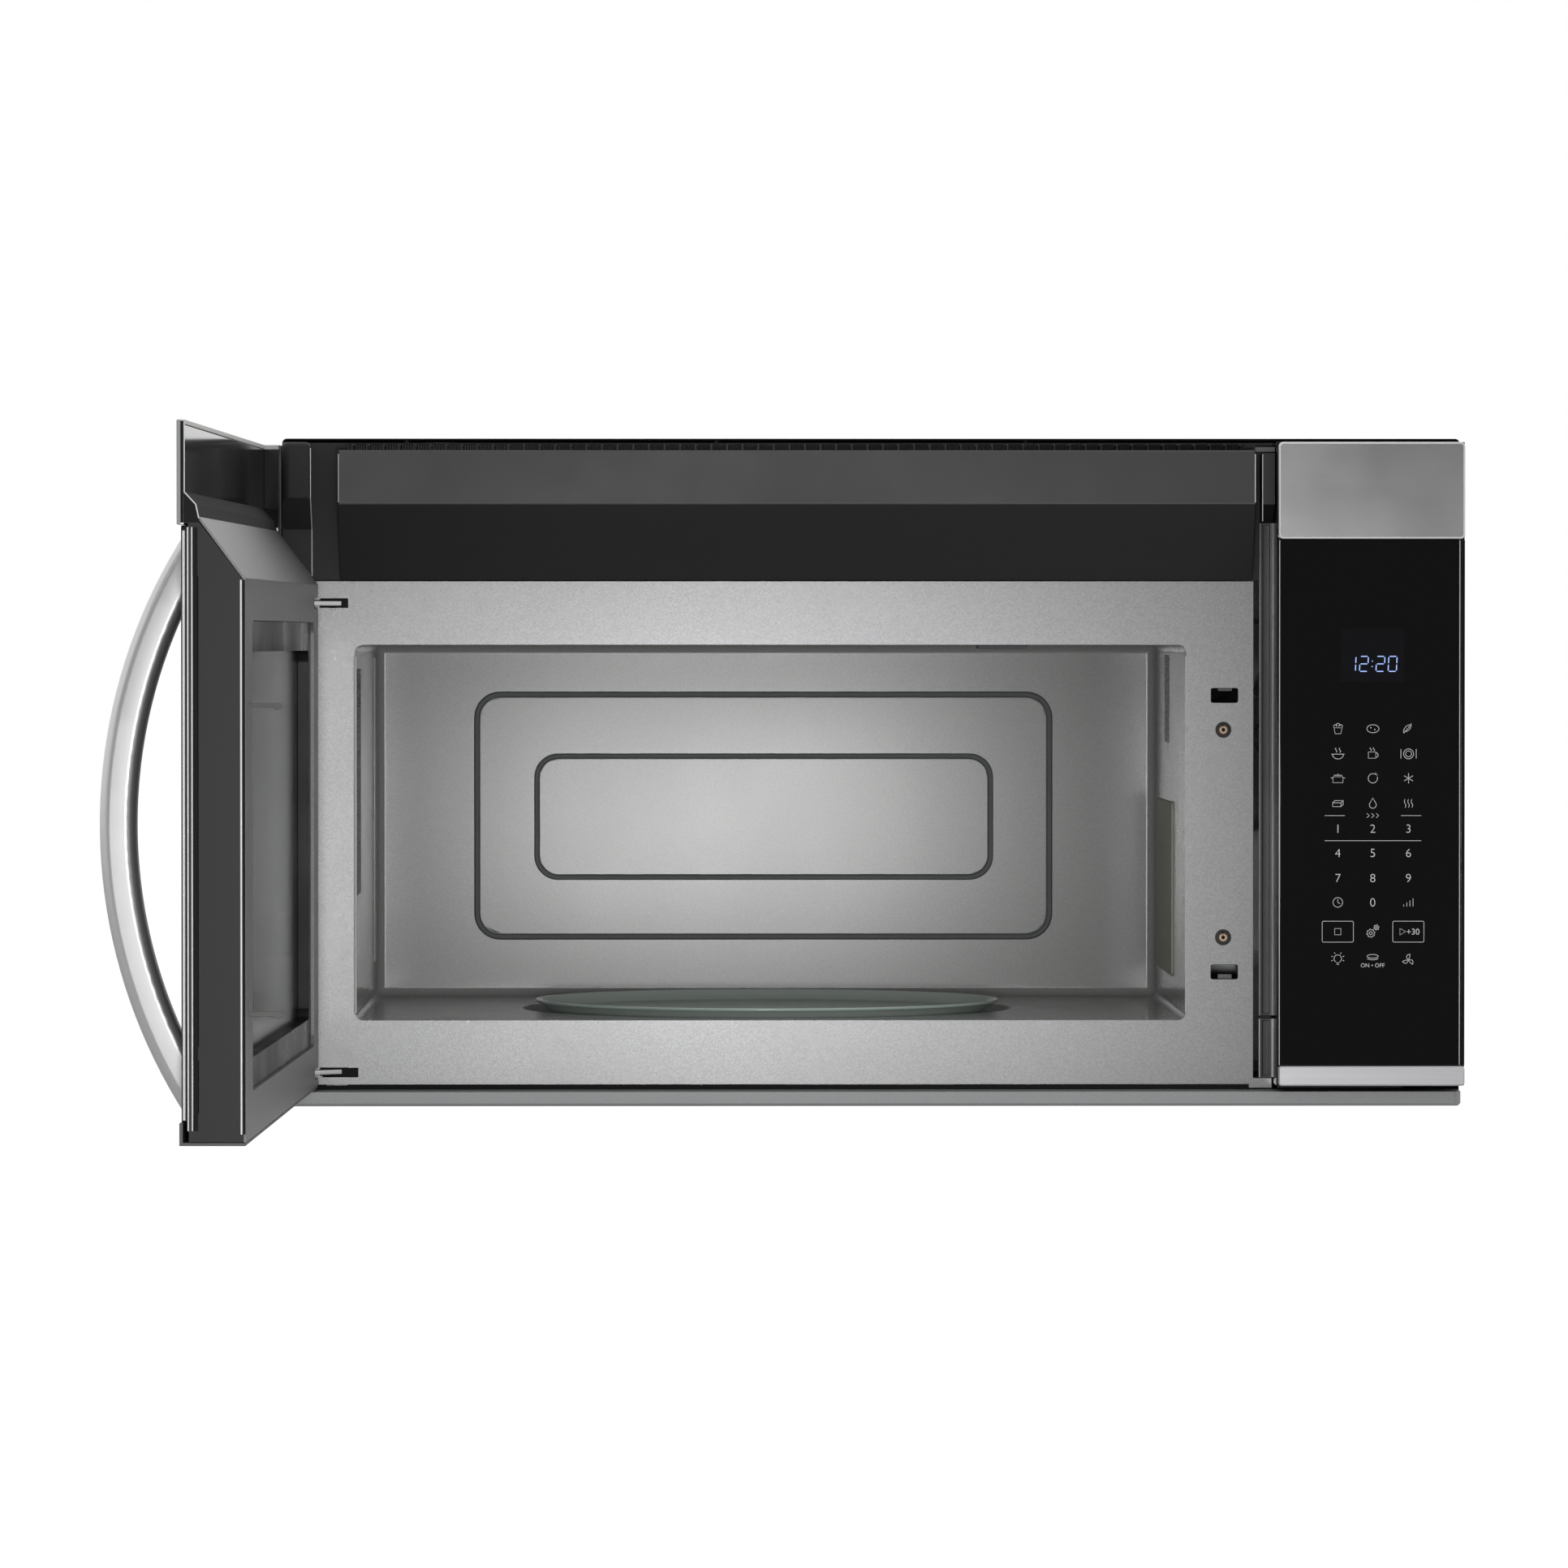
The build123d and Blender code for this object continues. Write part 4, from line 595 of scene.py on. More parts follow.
def add_rod(bm, middle, axis, radius, length, segments):
    """A closed cylinder along X or Z about a middle point, in millimetres."""
    turn = {"X": Matrix.Rotation(pi / 2, 4, "Y"), "Z": Matrix.Identity(4)}[axis]
    bmesh.ops.create_cone(
        bm, cap_ends=True, segments=segments, radius1=radius * MM, radius2=radius * MM,
        depth=length * MM, matrix=Matrix.Translation(Vector(middle) * MM) @ turn,
    )


def add_upright_rod(bm, x, y, span_z, radius, segments):
    """A closed upright cylinder between two heights, in millimetres."""
    low, high = span_z
    add_rod(bm, (x, y, (low + high) / 2), "Z", radius, high - low, segments)


def add_bar(bm, start, end, radius):
    """A closed round bar between two points, in millimetres."""
    start, end = Vector(start) * MM, Vector(end) * MM
    turn = (end - start).to_track_quat("Z", "Y").to_matrix().to_4x4()
    bmesh.ops.create_cone(
        bm, cap_ends=True, segments=12, radius1=radius * MM, radius2=radius * MM,
        depth=(end - start).length, matrix=Matrix.Translation((start + end) / 2) @ turn,
    )


def add_plate(bm, outline, front, back):
    """A flat outline of (x, z) points, pushed from one depth to another, in millimetres."""
    face = bm.faces.new([bm.verts.new(Vector((x, front, z)) * MM) for x, z in outline])
    grown = bmesh.ops.extrude_face_region(bm, geom=[face])["geom"]
    moved = [g for g in grown if isinstance(g, bmesh.types.BMVert)]
    bmesh.ops.translate(bm, vec=Vector((0, 1, 0)) * (back - front) * MM, verts=moved)


def add_round_ring(bm, middle, axis, profile, segments):
    """Spin a closed profile of (radius, along) points round Y or Z through middle."""
    along, out = {
        "Y": (Vector((0, 1, 0)), Vector((0, 0, 1))),
        "Z": (Vector((0, 0, 1)), Vector((1, 0, 0))),
    }[axis]
    centre = Vector(middle) * MM
    verts = [bm.verts.new(centre + (out * r + along * h) * MM) for r, h in profile]
    face = bm.faces.new(verts)
    bmesh.ops.spin(
        bm, geom=[face, *face.edges, *face.verts], cent=centre, axis=along, angle=tau,
        steps=segments, use_merge=True, use_duplicate=False,
    )


def close_up(bm):
    """Merge what touches and turn every face outwards."""
    bmesh.ops.remove_doubles(bm, verts=bm.verts, dist=TOUCHING)
    bmesh.ops.recalc_face_normals(bm, faces=bm.faces)


def door_depth(t):
    """The Y place of a point t behind the front plane of the closed door."""
    return DOOR_FRONT + t


def swing_open(bm):
    """Turn a mesh that was built on the closed door to the open place."""
    hinge = Vector((HINGE_X, HINGE_Y, 0)) * MM
    bmesh.ops.rotate(bm, cent=hinge, matrix=Matrix.Rotation(-DOOR_OPEN, 3, "Z"), verts=bm.verts)


def box_piece(name, boxes, body, material, soft=0.0):
    """A piece of (x, y, z) boxes, plain or with soft edges; one for the door is built shut."""
    bm = bmesh.new()
    for box in boxes:
        add_box(bm, *box)
    if soft:
        soften(bm, soft * MM)
    if body == "door":
        swing_open(bm)
    place_piece(name, bm, body, material, weighted=bool(soft))


def mesh_from_curve(curve):
    """The mesh of a curve or text, with the curve itself removed."""
    holder = bpy.data.objects.new("pen", curve)
    bpy.context.scene.collection.objects.link(holder)
    bpy.context.view_layer.update()
    seen = holder.evaluated_get(bpy.context.evaluated_depsgraph_get())
    mesh = bpy.data.meshes.new_from_object(seen)
    bpy.data.objects.remove(holder)
    bpy.data.curves.remove(curve)
    return mesh


def pen_lines(strokes, width):
    """A mesh of round lines in the plane of X and Y, from lists of points in millimetres."""
    curve = bpy.data.curves.new("pen", "CURVE")
    curve.dimensions = "3D"
    curve.bevel_depth = width / 2
    curve.bevel_resolution = 1
    curve.use_fill_caps = True
    for points in strokes:
        closed = points[0] == points[-1] and len(points) > 2
        kept = points[:-1] if closed else points
        spline = curve.splines.new("POLY")
        spline.points.add(len(kept) - 1)
        for target, (u, v) in zip(spline.points, kept):
            target.co = (u * MM, v * MM, 0, 1)
        spline.use_cyclic_u = closed
    return mesh_from_curve(curve)


def stood_up(meshes, depth, flatten=1.0):
    """A bmesh of flat meshes, thinned and stood upright at a depth in millimetres."""
    bm = bmesh.new()
    for mesh in meshes:
        bm.from_mesh(mesh)
        bpy.data.meshes.remove(mesh)
    bmesh.ops.remove_doubles(bm, verts=bm.verts, dist=TOUCHING)
    bmesh.ops.scale(bm, vec=(1, 1, flatten), verts=bm.verts)
    bmesh.ops.rotate(bm, cent=(0, 0, 0), matrix=Matrix.Rotation(pi / 2, 3, "X"), verts=bm.verts)
    bmesh.ops.translate(bm, vec=(0, depth * MM, 0), verts=bm.verts)
    bmesh.ops.recalc_face_normals(bm, faces=bm.faces)
    return bm


def print_on_panel(name, meshes, flatten):
    """Lay flat meshes on the front of the panel glass as one thin print."""
    bm = stood_up(meshes, PANEL_GLASS_FRONT, flatten)
    place_piece(name, bm, "cabinet", "print", weighted=False)


def rounded_outline(low, high, corner, steps=8):
    """Points round an upright rectangle with round corners, from (x, z) to (x, z)."""
    points = []
    for cu, cv, start in (
        (high[0] - corner, high[1] - corner, 0), (low[0] + corner, high[1] - corner, 90),
        (low[0] + corner, low[1] + corner, 180), (high[0] - corner, low[1] + corner, 270),
    ):
        for i in range(steps + 1):
            turn = radians(start + 90 * i / steps)
            points.append((cu + corner * cos(turn), cv + corner * sin(turn)))
    return points + points[:1]


def trim_block(node, corner, chamfer, material):
    """A steel trim as one block with round corners and a flat bright chamfer round its face."""
    bm = bmesh.new()
    add_box(bm, span(node, 0), span(node, 1), span(node, 2))
    front = span(node, 1)[0] * MM
    into = [e for e in bm.edges if abs(e.verts[0].co.y - e.verts[1].co.y) > 1e-6]
    bevel(bm, into, corner * MM, 5)
    rim = [e for e in bm.edges if all(abs(v.co.y - front) < 1e-6 for v in e.verts)]
    bevel(bm, rim, chamfer * MM, 1)
    piece = place_piece(f"{node}_finish", bm, "cabinet", material)
    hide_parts(node)


# ======================================================================
# Studio
# ======================================================================
CAMERA_AIM = Vector((0.010515, 1.0, -0.017171))
SENSOR_WIDTH = 36.0
# how bright a mirror sees the room, from behind the camera to behind the object
ROOM_LEVELS = ((0.0, 0.10), (0.04, 0.14), (0.20, 0.75), (0.40, 1.0))
FLOOR_SIZE = 14.0
FLOOR_MIDDLE_Y = 10.5
FLOOR_GLOW = 1.10
FLOOR_GLOW_SHARE = 0.90


def studio_world(strength):
    """White for the camera and for glass, graded for gloss, plain for matt surfaces."""
    world = bpy.data.worlds.new("Studio")
    bpy.context.scene.world = world
    world.use_nodes = True
    tree = world.node_tree
    tree.nodes.clear()
    out = add_node(tree, "OutputWorld")
    rays = add_node(tree, "LightPath")
    white = add_node(tree, "Background", {"Color": (1, 1, 1, 1)})
    matt = add_node(tree, "Background", {"Color": (1, 1, 1, 1), "Strength": strength})
    gloss = add_node(tree, "Background")
    direction = add_node(tree, "TexCoord")
    toward = add_node(tree, "VectorMath", {1: (0.0, 1.0, 0.0)}, operation="DOT_PRODUCT")
    shift = add_node(tree, "Math", {1: 0.5, 2: 0.5}, operation="MULTIPLY_ADD")
    ramp = add_node(tree, "ValToRGB")
    ramp.color_ramp.interpolation = "EASE"
    while len(ramp.color_ramp.elements) < len(ROOM_LEVELS):
        ramp.color_ramp.elements.new(0.5)
    for element, (at, level) in zip(ramp.color_ramp.elements, ROOM_LEVELS):
        element.position = at
        element.color = (level, level, level, 1)
    seen = add_node(tree, "Math", operation="MAXIMUM")
    shine = add_node(tree, "MixShader")
    final = add_node(tree, "MixShader")
    wire(
        tree,
        (direction.outputs["Generated"], toward.inputs[0]),
        (toward.outputs["Value"], shift.inputs[0]),
        (shift.outputs[0], ramp.inputs["Fac"]),
        (ramp.outputs["Color"], gloss.inputs["Color"]),
        (rays.outputs["Is Camera Ray"], seen.inputs[0]),
        (rays.outputs["Is Transmission Ray"], seen.inputs[1]),
        (rays.outputs["Is Glossy Ray"], shine.inputs[0]),
        (matt.outputs[0], shine.inputs[1]),
        (gloss.outputs[0], shine.inputs[2]),
        (seen.outputs[0], final.inputs[0]),
        (shine.outputs[0], final.inputs[1]),
        (white.outputs[0], final.inputs[2]),
        (final.outputs[0], out.inputs["Surface"]),
    )


def studio_floor(settings):
    """A pale floor that looks white to the camera but keeps the shadow."""
    bm = bmesh.new()
    bmesh.ops.create_grid(bm, x_segments=1, y_segments=1, size=FLOOR_SIZE)
    bmesh.ops.translate(bm, vec=(0, FLOOR_MIDDLE_Y, settings.floor_z), verts=bm.verts)
    mesh = bpy.data.meshes.new("studio_floor")
    bm.to_mesh(mesh)
    bm.free()
    floor = bpy.data.objects.new("studio_floor", mesh)
    bpy.context.scene.collection.objects.link(floor)
    finish = Finish("Pale Floor", tuple(settings.floor_tone), 0.8)
    glow = finish.add("Emission", {"Strength": FLOOR_GLOW})
    mix = finish.add("MixShader")
    rays = finish.add("LightPath")
    seen = finish.add("Math", operation="MAXIMUM")
    share = finish.add("Math", {1: FLOOR_GLOW_SHARE}, operation="MULTIPLY")
    wire(
        finish.tree,
        (rays.outputs["Is Camera Ray"], seen.inputs[0]),
        (rays.outputs["Is Transmission Ray"], seen.inputs[1]),
        (seen.outputs[0], share.inputs[0]),
        (share.outputs[0], mix.inputs[0]),
        (finish.shader.outputs[0], mix.inputs[1]),
        (glow.outputs[0], mix.inputs[2]),
        (mix.outputs[0], finish.tree.nodes["Material Output"].inputs["Surface"]),
    )
    mesh.materials.append(finish.material)


def studio_lamp(name, place, target, size, power):
    """A rectangular soft lamp that looks at a target."""
    light = bpy.data.lights.new(name, "AREA")
    light.shape = "RECTANGLE"
    light.size, light.size_y = size
    light.energy = power
    lamp = bpy.data.objects.new(name, light)
    bpy.context.scene.collection.objects.link(lamp)
    lamp.location = place
    lamp.rotation_euler = (Vector(target) - Vector(place)).to_track_quat("-Z", "Y").to_euler()


class StudioOperator(bpy.types.Operator):
    """Set the floor, the sky, the lamps and the camera"""

    bl_idname = "microwave.studio"
    bl_label = "Studio"

    def execute(self, context):
        s = context.scene.microwave_studio
        context.scene.view_settings.view_transform = "Standard"
        studio_world(s.sky_diffuse)
        studio_floor(s)
        studio_lamp(
            "Front key", place=(-0.95, -3.9, 0.45), target=(-0.3, -0.4, 0.2),
            size=(1.3, 1.2), power=s.key_power,
        )
        studio_lamp(
            "Front spot", place=(-0.09, -3.9, 0.10), target=(-0.06, 0, 0.18),
            size=(0.48, 0.17), power=s.spot_power,
        )
        camera_data = bpy.data.cameras.new("Camera")
        camera_data.sensor_width = SENSOR_WIDTH
        camera_data.lens = s.lens
        camera_data.clip_end = 100.0
        camera = bpy.data.objects.new("Camera", camera_data)
        context.scene.collection.objects.link(camera)
        camera.location = (s.camera_x, s.camera_y, s.camera_z)
        camera.rotation_euler = CAMERA_AIM.to_track_quat("-Z", "Y").to_euler()
        context.scene.camera = camera
        return {"FINISHED"}


# ======================================================================
# Cabinet
# ======================================================================
FASTENER_X = 227.4
FASTENER_HEIGHTS = (107.6, 241.7)
# each ring round a fastener, with its inner and outer radius, its face and its finish
FASTENER_RINGS = (
    ("fastener_washers", 2.5, 3.9, -0.25, "bronze"),
    ("fastener_rings", 1.15, 2.6, -0.45, "brass"),
    ("fastener_sockets", 0.1, 1.25, -0.40, "hole"),
)
# widths and heights of the slots that the hinge arms come out of, each filled with a near-black
# plate of painted shade
HINGE_SLOTS = (((-355.4, -337.8), (320.4, 326.6)), ((-354.4, -331.2), (17.4, 23.6)))
# heights of the tabs in the catch slots, clear of the travel of the hooks
CATCH_TABS = ((266.8, 268.7), (80.9, 83.7))
# heights between which the sides of the oven opening are straight
OPENING_SIDES = (59.0, 289.0)


class ShellOperator(bpy.types.Operator):
    """Finish the outer sheet, the rear, the bottom tray and their fixings"""

    bl_idname = "microwave.shell"
    bl_label = "Cabinet shell"

    def execute(self, context):
        finish_node("outer_wrap", "cabinet", "cabinet")
        finish_node("rear_panel", "cabinet", "zinc")
        finish_node("base_pan", "cabinet", "pan", edge=0.35)
        paint_nodes({"weld_nuts": "steel", "cabinet_screws": "bronze", "cord_gland": "rubber"})
        return {"FINISHED"}


class FaceFrameOperator(bpy.types.Operator):
    """Finish the silver face frame, its fasteners, the hinge arms and the catch behind it"""

    bl_idname = "microwave.face_frame"
    bl_label = "Face frame"

    def execute(self, context):
        finish_node("front_frame", "cabinet", "silver", edge=0.35)
        finish_node("latch_screws", "cabinet", "brass", edge=0.25)
        finish_node("hinge_arms", "cabinet", "steel", edge=0.3)
        paint_nodes({"latch_board": "plastic", "interlock_switches": "plastic"})
        self.fastener_rims()
        tabs = [((224.0, 233.0), (-372.0, -371.2), height) for height in CATCH_TABS]
        box_piece("catch_tabs", tabs, "cabinet", "dull", soft=0.15)
        # near-black plates of painted shade in the hinge slots, round the arms
        slots = [(x, (FRAME_FACE - 0.12, FRAME_FACE + 0.4), z) for x, z in HINGE_SLOTS]
        box_piece("hinge_slots", slots, "cabinet", "hole")
        self.opening_edges()
        # a near-black strip of painted shade that closes the gap under the face frame
        strip = ((-378.5, 243.5), (FRAME_FACE + 0.6, FRAME_FACE + 1.15), (9.6, 12.3))
        box_piece("lower_baffle", [strip], "cabinet", "hole")
        return {"FINISHED"}

    def fastener_rims(self):
        """The dished washer round each recessed fastener, its ring and its socket."""
        root = 0.3
        for name, inner, outer, face, material in FASTENER_RINGS:
            profile = ((inner, face), (outer, face), (outer, root), (inner, root))
            bm = bmesh.new()
            for z in FASTENER_HEIGHTS:
                add_round_ring(bm, (FASTENER_X, FRAME_FACE, z), "Y", profile, 40)
            close_up(bm)
            soften(bm, 0.1 * MM)
            place_piece(name, bm, "cabinet", material)

    def opening_edges(self):
        """A white rod on the rolled edge at each side of the oven opening: a painted highlight
        where that edge catches the light.
        """
        bm = bmesh.new()
        for x, radius in ((CAVITY_LEFT - 0.1, 0.9), (CAVITY_RIGHT + 0.1, 0.4)):
            add_upright_rod(bm, x, FRAME_FACE + 0.2, OPENING_SIDES, radius, 16)
        place_piece("opening_edges", bm, "cabinet", "white_plastic")


class CavityOperator(bpy.types.Operator):
    """Finish the oven walls and add their holes and beads"""

    bl_idname = "microwave.cavity"
    bl_label = "Oven cavity"

    def execute(self, context):
        # the rear wall keeps its pressed rings crisp
        for node, smooth in (("cavity_wrap", SMOOTH), ("cavity_floor", SMOOTH), ("cavity_back", 4)):
            finish_node(node, "cabinet", "enamel", edge=0.0, smooth=smooth)
        finish_node("waveguide_cover", "cabinet", "mica", edge=0.2)
        self.wall_holes(context.scene.microwave_cavity)
        # the upright bead at the left rear, and the low boss at the front of the roof
        bead = ((CAVITY_LEFT - 0.5, CAVITY_LEFT + 1.6), (-66, -58), (80, 288))
        box_piece("wall_beads", [bead], "cabinet", "enamel", soft=0.7)
        boss = ((69, 101), (-366, -330), (CAVITY_TOP - 2.4, CAVITY_TOP + 0.5))
        box_piece("roof_boss", [boss], "cabinet", "core", soft=1.0)
        self.pressed_rings()
        return {"FINISHED"}

    def pressed_rings(self):
        """The shaded beads that lie in the two pressed rings of the rear wall."""
        rings = [
            rounded_outline((-263.9, 95.3), (130.3, 262.1), 16.0),
            rounded_outline((-222.8, 136.2), (89.8, 219.8), 15.0),
        ]
        bm = stood_up([pen_lines(rings, 4.2 * MM)], CAVITY_BACK + 0.8, 0.5)
        place_piece("pressed_rings", bm, "cabinet", "groove", weighted=False)

    def wall_holes(self, s):
        """Two staggered fields of vent holes, as thin dark discs on the walls."""
        bm = bmesh.new()
        pitch = s.hole_pitch / MM
        fields = (
            (CAVITY_LEFT + 0.06, (-348, -281), (135, 278)),
            (CAVITY_RIGHT - 0.06, (-185, -128), (232, 290)),
        )
        for wall, (y0, y1), (z0, z1) in fields:
            for column in range(int((y1 - y0) / pitch) + 1):
                for row in range(int((z1 - z0) / pitch) + 1):
                    z = z0 + (row + 0.5 * (column % 2)) * pitch
                    add_rod(bm, (wall, y0 + column * pitch, z), "X", s.hole_radius / MM, 0.1, 8)
        place_piece("wall_holes", bm, "cabinet", "hole", weighted=False)


# ======================================================================
# Vent
# ======================================================================
GRILLE_LEFT, GRILLE_RIGHT = span("vent_grille", 0)
GRILLE_FRONT = span("vent_grille", 1)[0]
# heights between which the grille's face stands upright
GRILLE_FACE = (387.4, 420.8)
# the two lengths of the trim strip, each with the radius of the bright rods that paint the
# highlights on its edges
STRIP_LENGTHS = (((57.2, 375.0), 0.22), ((17.2, 55.0), 0.42))
STRIP_SIDES = (250.9, 259.1)


class VentOperator(bpy.types.Operator):
    """Finish the grille, its end cap, the filler and the trim strip, and add the outlet fins"""

    bl_idname = "microwave.vent"
    bl_label = "Vent and grille"

    def execute(self, context):
        finish_node("vent_panel", "cabinet", "cabinet")
        finish_node("vent_grille", "cabinet", "plastic", edge=0.3, smooth=9)
        finish_node("grille_end_cap", "cabinet", "cap", edge=0.4)
        finish_node("seam_filler", "cabinet", "plastic", edge=0.5)
        finish_node("seam_strip", "cabinet", "seam", edge=0.3)
        paint_nodes({"charcoal_filter": "charcoal"})
        self.outlet_fins(context.scene.microwave_vent)
        # a thin near-black sheet of painted shade on the side of the cabinet, behind the end return
        # of the door
        seal = ((-380.95, -379.8), (-373.2, -370.5), (363.0, 425.0))
        box_piece("side_seal", [seal], "cabinet", "hole")
        # the small metal tab over the seam
        tab = ((246.4, 259.0), (-396.0, -384.0), (420.6, 423.6))
        box_piece("seam_tab", [tab], "cabinet", "dull", soft=0.3)
        # a lighter copy of the grille plastic on the upright face of the grille: painted light,
        # where that face catches the front lamp
        across = (GRILLE_LEFT + 0.4, GRILLE_RIGHT - 0.4)
        plate = (across, (GRILLE_FRONT - 0.35, GRILLE_FRONT + 0.5), GRILLE_FACE)
        box_piece("grille_face_plate", [plate], "cabinet", "upright", soft=0.2)
        self.moulded_edges()
        self.face_edges()
        return {"FINISHED"}

    def outlet_fins(self, s):
        """A close comb of fins along the outlet over the grille."""
        pitch, width, margin = s.fin_pitch / MM, s.fin_width / MM, 6
        count = int((GRILLE_RIGHT - GRILLE_LEFT - 2 * margin) / pitch)
        places = [GRILLE_LEFT + margin + number * pitch for number in range(count)]
        fins = [((x, x + width), (-398.0, -380.0), (421.4, 424.8)) for x in places]
        box_piece("outlet_fins", fins, "cabinet", "gloss")

    def moulded_edges(self):
        """Bright rods on the edges of the strip, the grille, the end cap and the filler: painted
        highlights where these edges catch the light.
        """
        cap_x, cap_y = span("grille_end_cap", 0)[1] + 0.2, span("grille_end_cap", 1)[0] + 0.5
        filler_x, filler_y = span("seam_filler", 0)[0] + 0.2, span("seam_filler", 1)[0] + 0.1
        strip_y = span("seam_strip", 1)[0] - 0.1
        bm = bmesh.new()
        for heights, radius in STRIP_LENGTHS:
            for x in STRIP_SIDES:
                add_upright_rod(bm, x, strip_y, heights, radius, 12)
        for x, y, radius, heights in (
            (GRILLE_RIGHT - 0.1, GRILLE_FRONT - 0.2, 0.40, (388.0, 419.0)),
            (GRILLE_LEFT + 0.1, GRILLE_FRONT - 0.2, 0.28, (388.0, 419.0)),
            (cap_x, cap_y, 0.35, (391.0, 423.0)),
            (filler_x, filler_y, 0.30, (376.0, 419.0)),
        ):
            add_upright_rod(bm, x, y, heights, radius, 12)
        # the end cap's edge goes on down its slope and its foot
        foot = (cap_x, FRAME_FACE - 0.7, 371.2)
        add_bar(bm, (cap_x, cap_y, 391.0), foot, 0.35)
        add_bar(bm, foot, (cap_x, FRAME_FACE - 0.2, 341.0), 0.35)
        place_piece("moulded_edges", bm, "cabinet", "bright_line")

    def face_edges(self):
        """Rods of lighter plastic along the top and the bottom of the grille's face: painted
        highlights on its edges.
        """
        bm = bmesh.new()
        for z in GRILLE_FACE:
            middle = ((GRILLE_LEFT + GRILLE_RIGHT) / 2, GRILLE_FRONT - 0.2, z + 0.1)
            add_rod(bm, middle, "X", 0.32, GRILLE_RIGHT - GRILLE_LEFT - 1.4, 12)
        place_piece("grille_face_edges", bm, "cabinet", "light_edge")


# ======================================================================
# Control panel
# ======================================================================
# columns and rows of the touch keys
KEY_X = (298.5, 320.9, 343.8)
WORD_ROWS = (242.8, 226.7, 211.0, 194.9)
NUMBER_ROWS = (178.7, 163.1, 147.0)
HEADING_ROW = 187.1
RULE_ROW = 171.0
ZERO_ROW = 131.4
BOX_ROW = 112.6
LAST_ROW = 94.4
RULE_ENDS = (290.0, 352.0)
BOX_HALF = (10.0, 6.7)


def arc(cu, cv, r, start=0, end=360, steps=20, squeeze=1.0):
    """Points on an arc, in degrees; squeeze flattens it."""
    turns = [radians(start + (end - start) * i / steps) for i in range(steps + 1)]
    points = [(cu + r * cos(a), cv + r * squeeze * sin(a)) for a in turns]
    if end - start == 360:
        points[-1] = points[0]
    return points


def loop(*points):
    """A closed outline."""
    return [*points, points[0]]


def spokes(turns, inner, outer, cv=0.0):
    """Short lines at the given turns in degrees, between two radii."""
    ways = [(cos(radians(turn)), sin(radians(turn))) for turn in turns]
    return [[(inner * u, cv + inner * v), (outer * u, cv + outer * v)] for u, v in ways]


def steam(cu, cv, tall=3.0):
    """A short wavy line that rises."""
    return [(cu + 0.5 * sin(tau * i / 8), cv + tall * i / 8) for i in range(9)]


def gear(r, teeth):
    """A toothed ring with a round hole."""
    rim = []
    for i in range(teeth * 4):
        reach = r if i % 4 < 2 else r * 0.78
        turn = tau * (i + 0.5) / (teeth * 4)
        rim.append((reach * cos(turn), reach * sin(turn)))
    return [loop(*rim), arc(0, 0, r * 0.36, steps=12)]


def fan_blades():
    """Three leaves that are fuller on one side."""
    leaf = [(0.5 * i, 1.7 * sin(pi * i / 8)) for i in range(9)]
    leaf += [(0.5 * i, -0.3 * sin(pi * i / 8)) for i in range(7, -1, -1)]
    blades = []
    for turn in (75, 195, 315):
        a = radians(turn)
        blades.append([(u * cos(a) - v * sin(a), u * sin(a) + v * cos(a)) for u, v in leaf])
    return blades


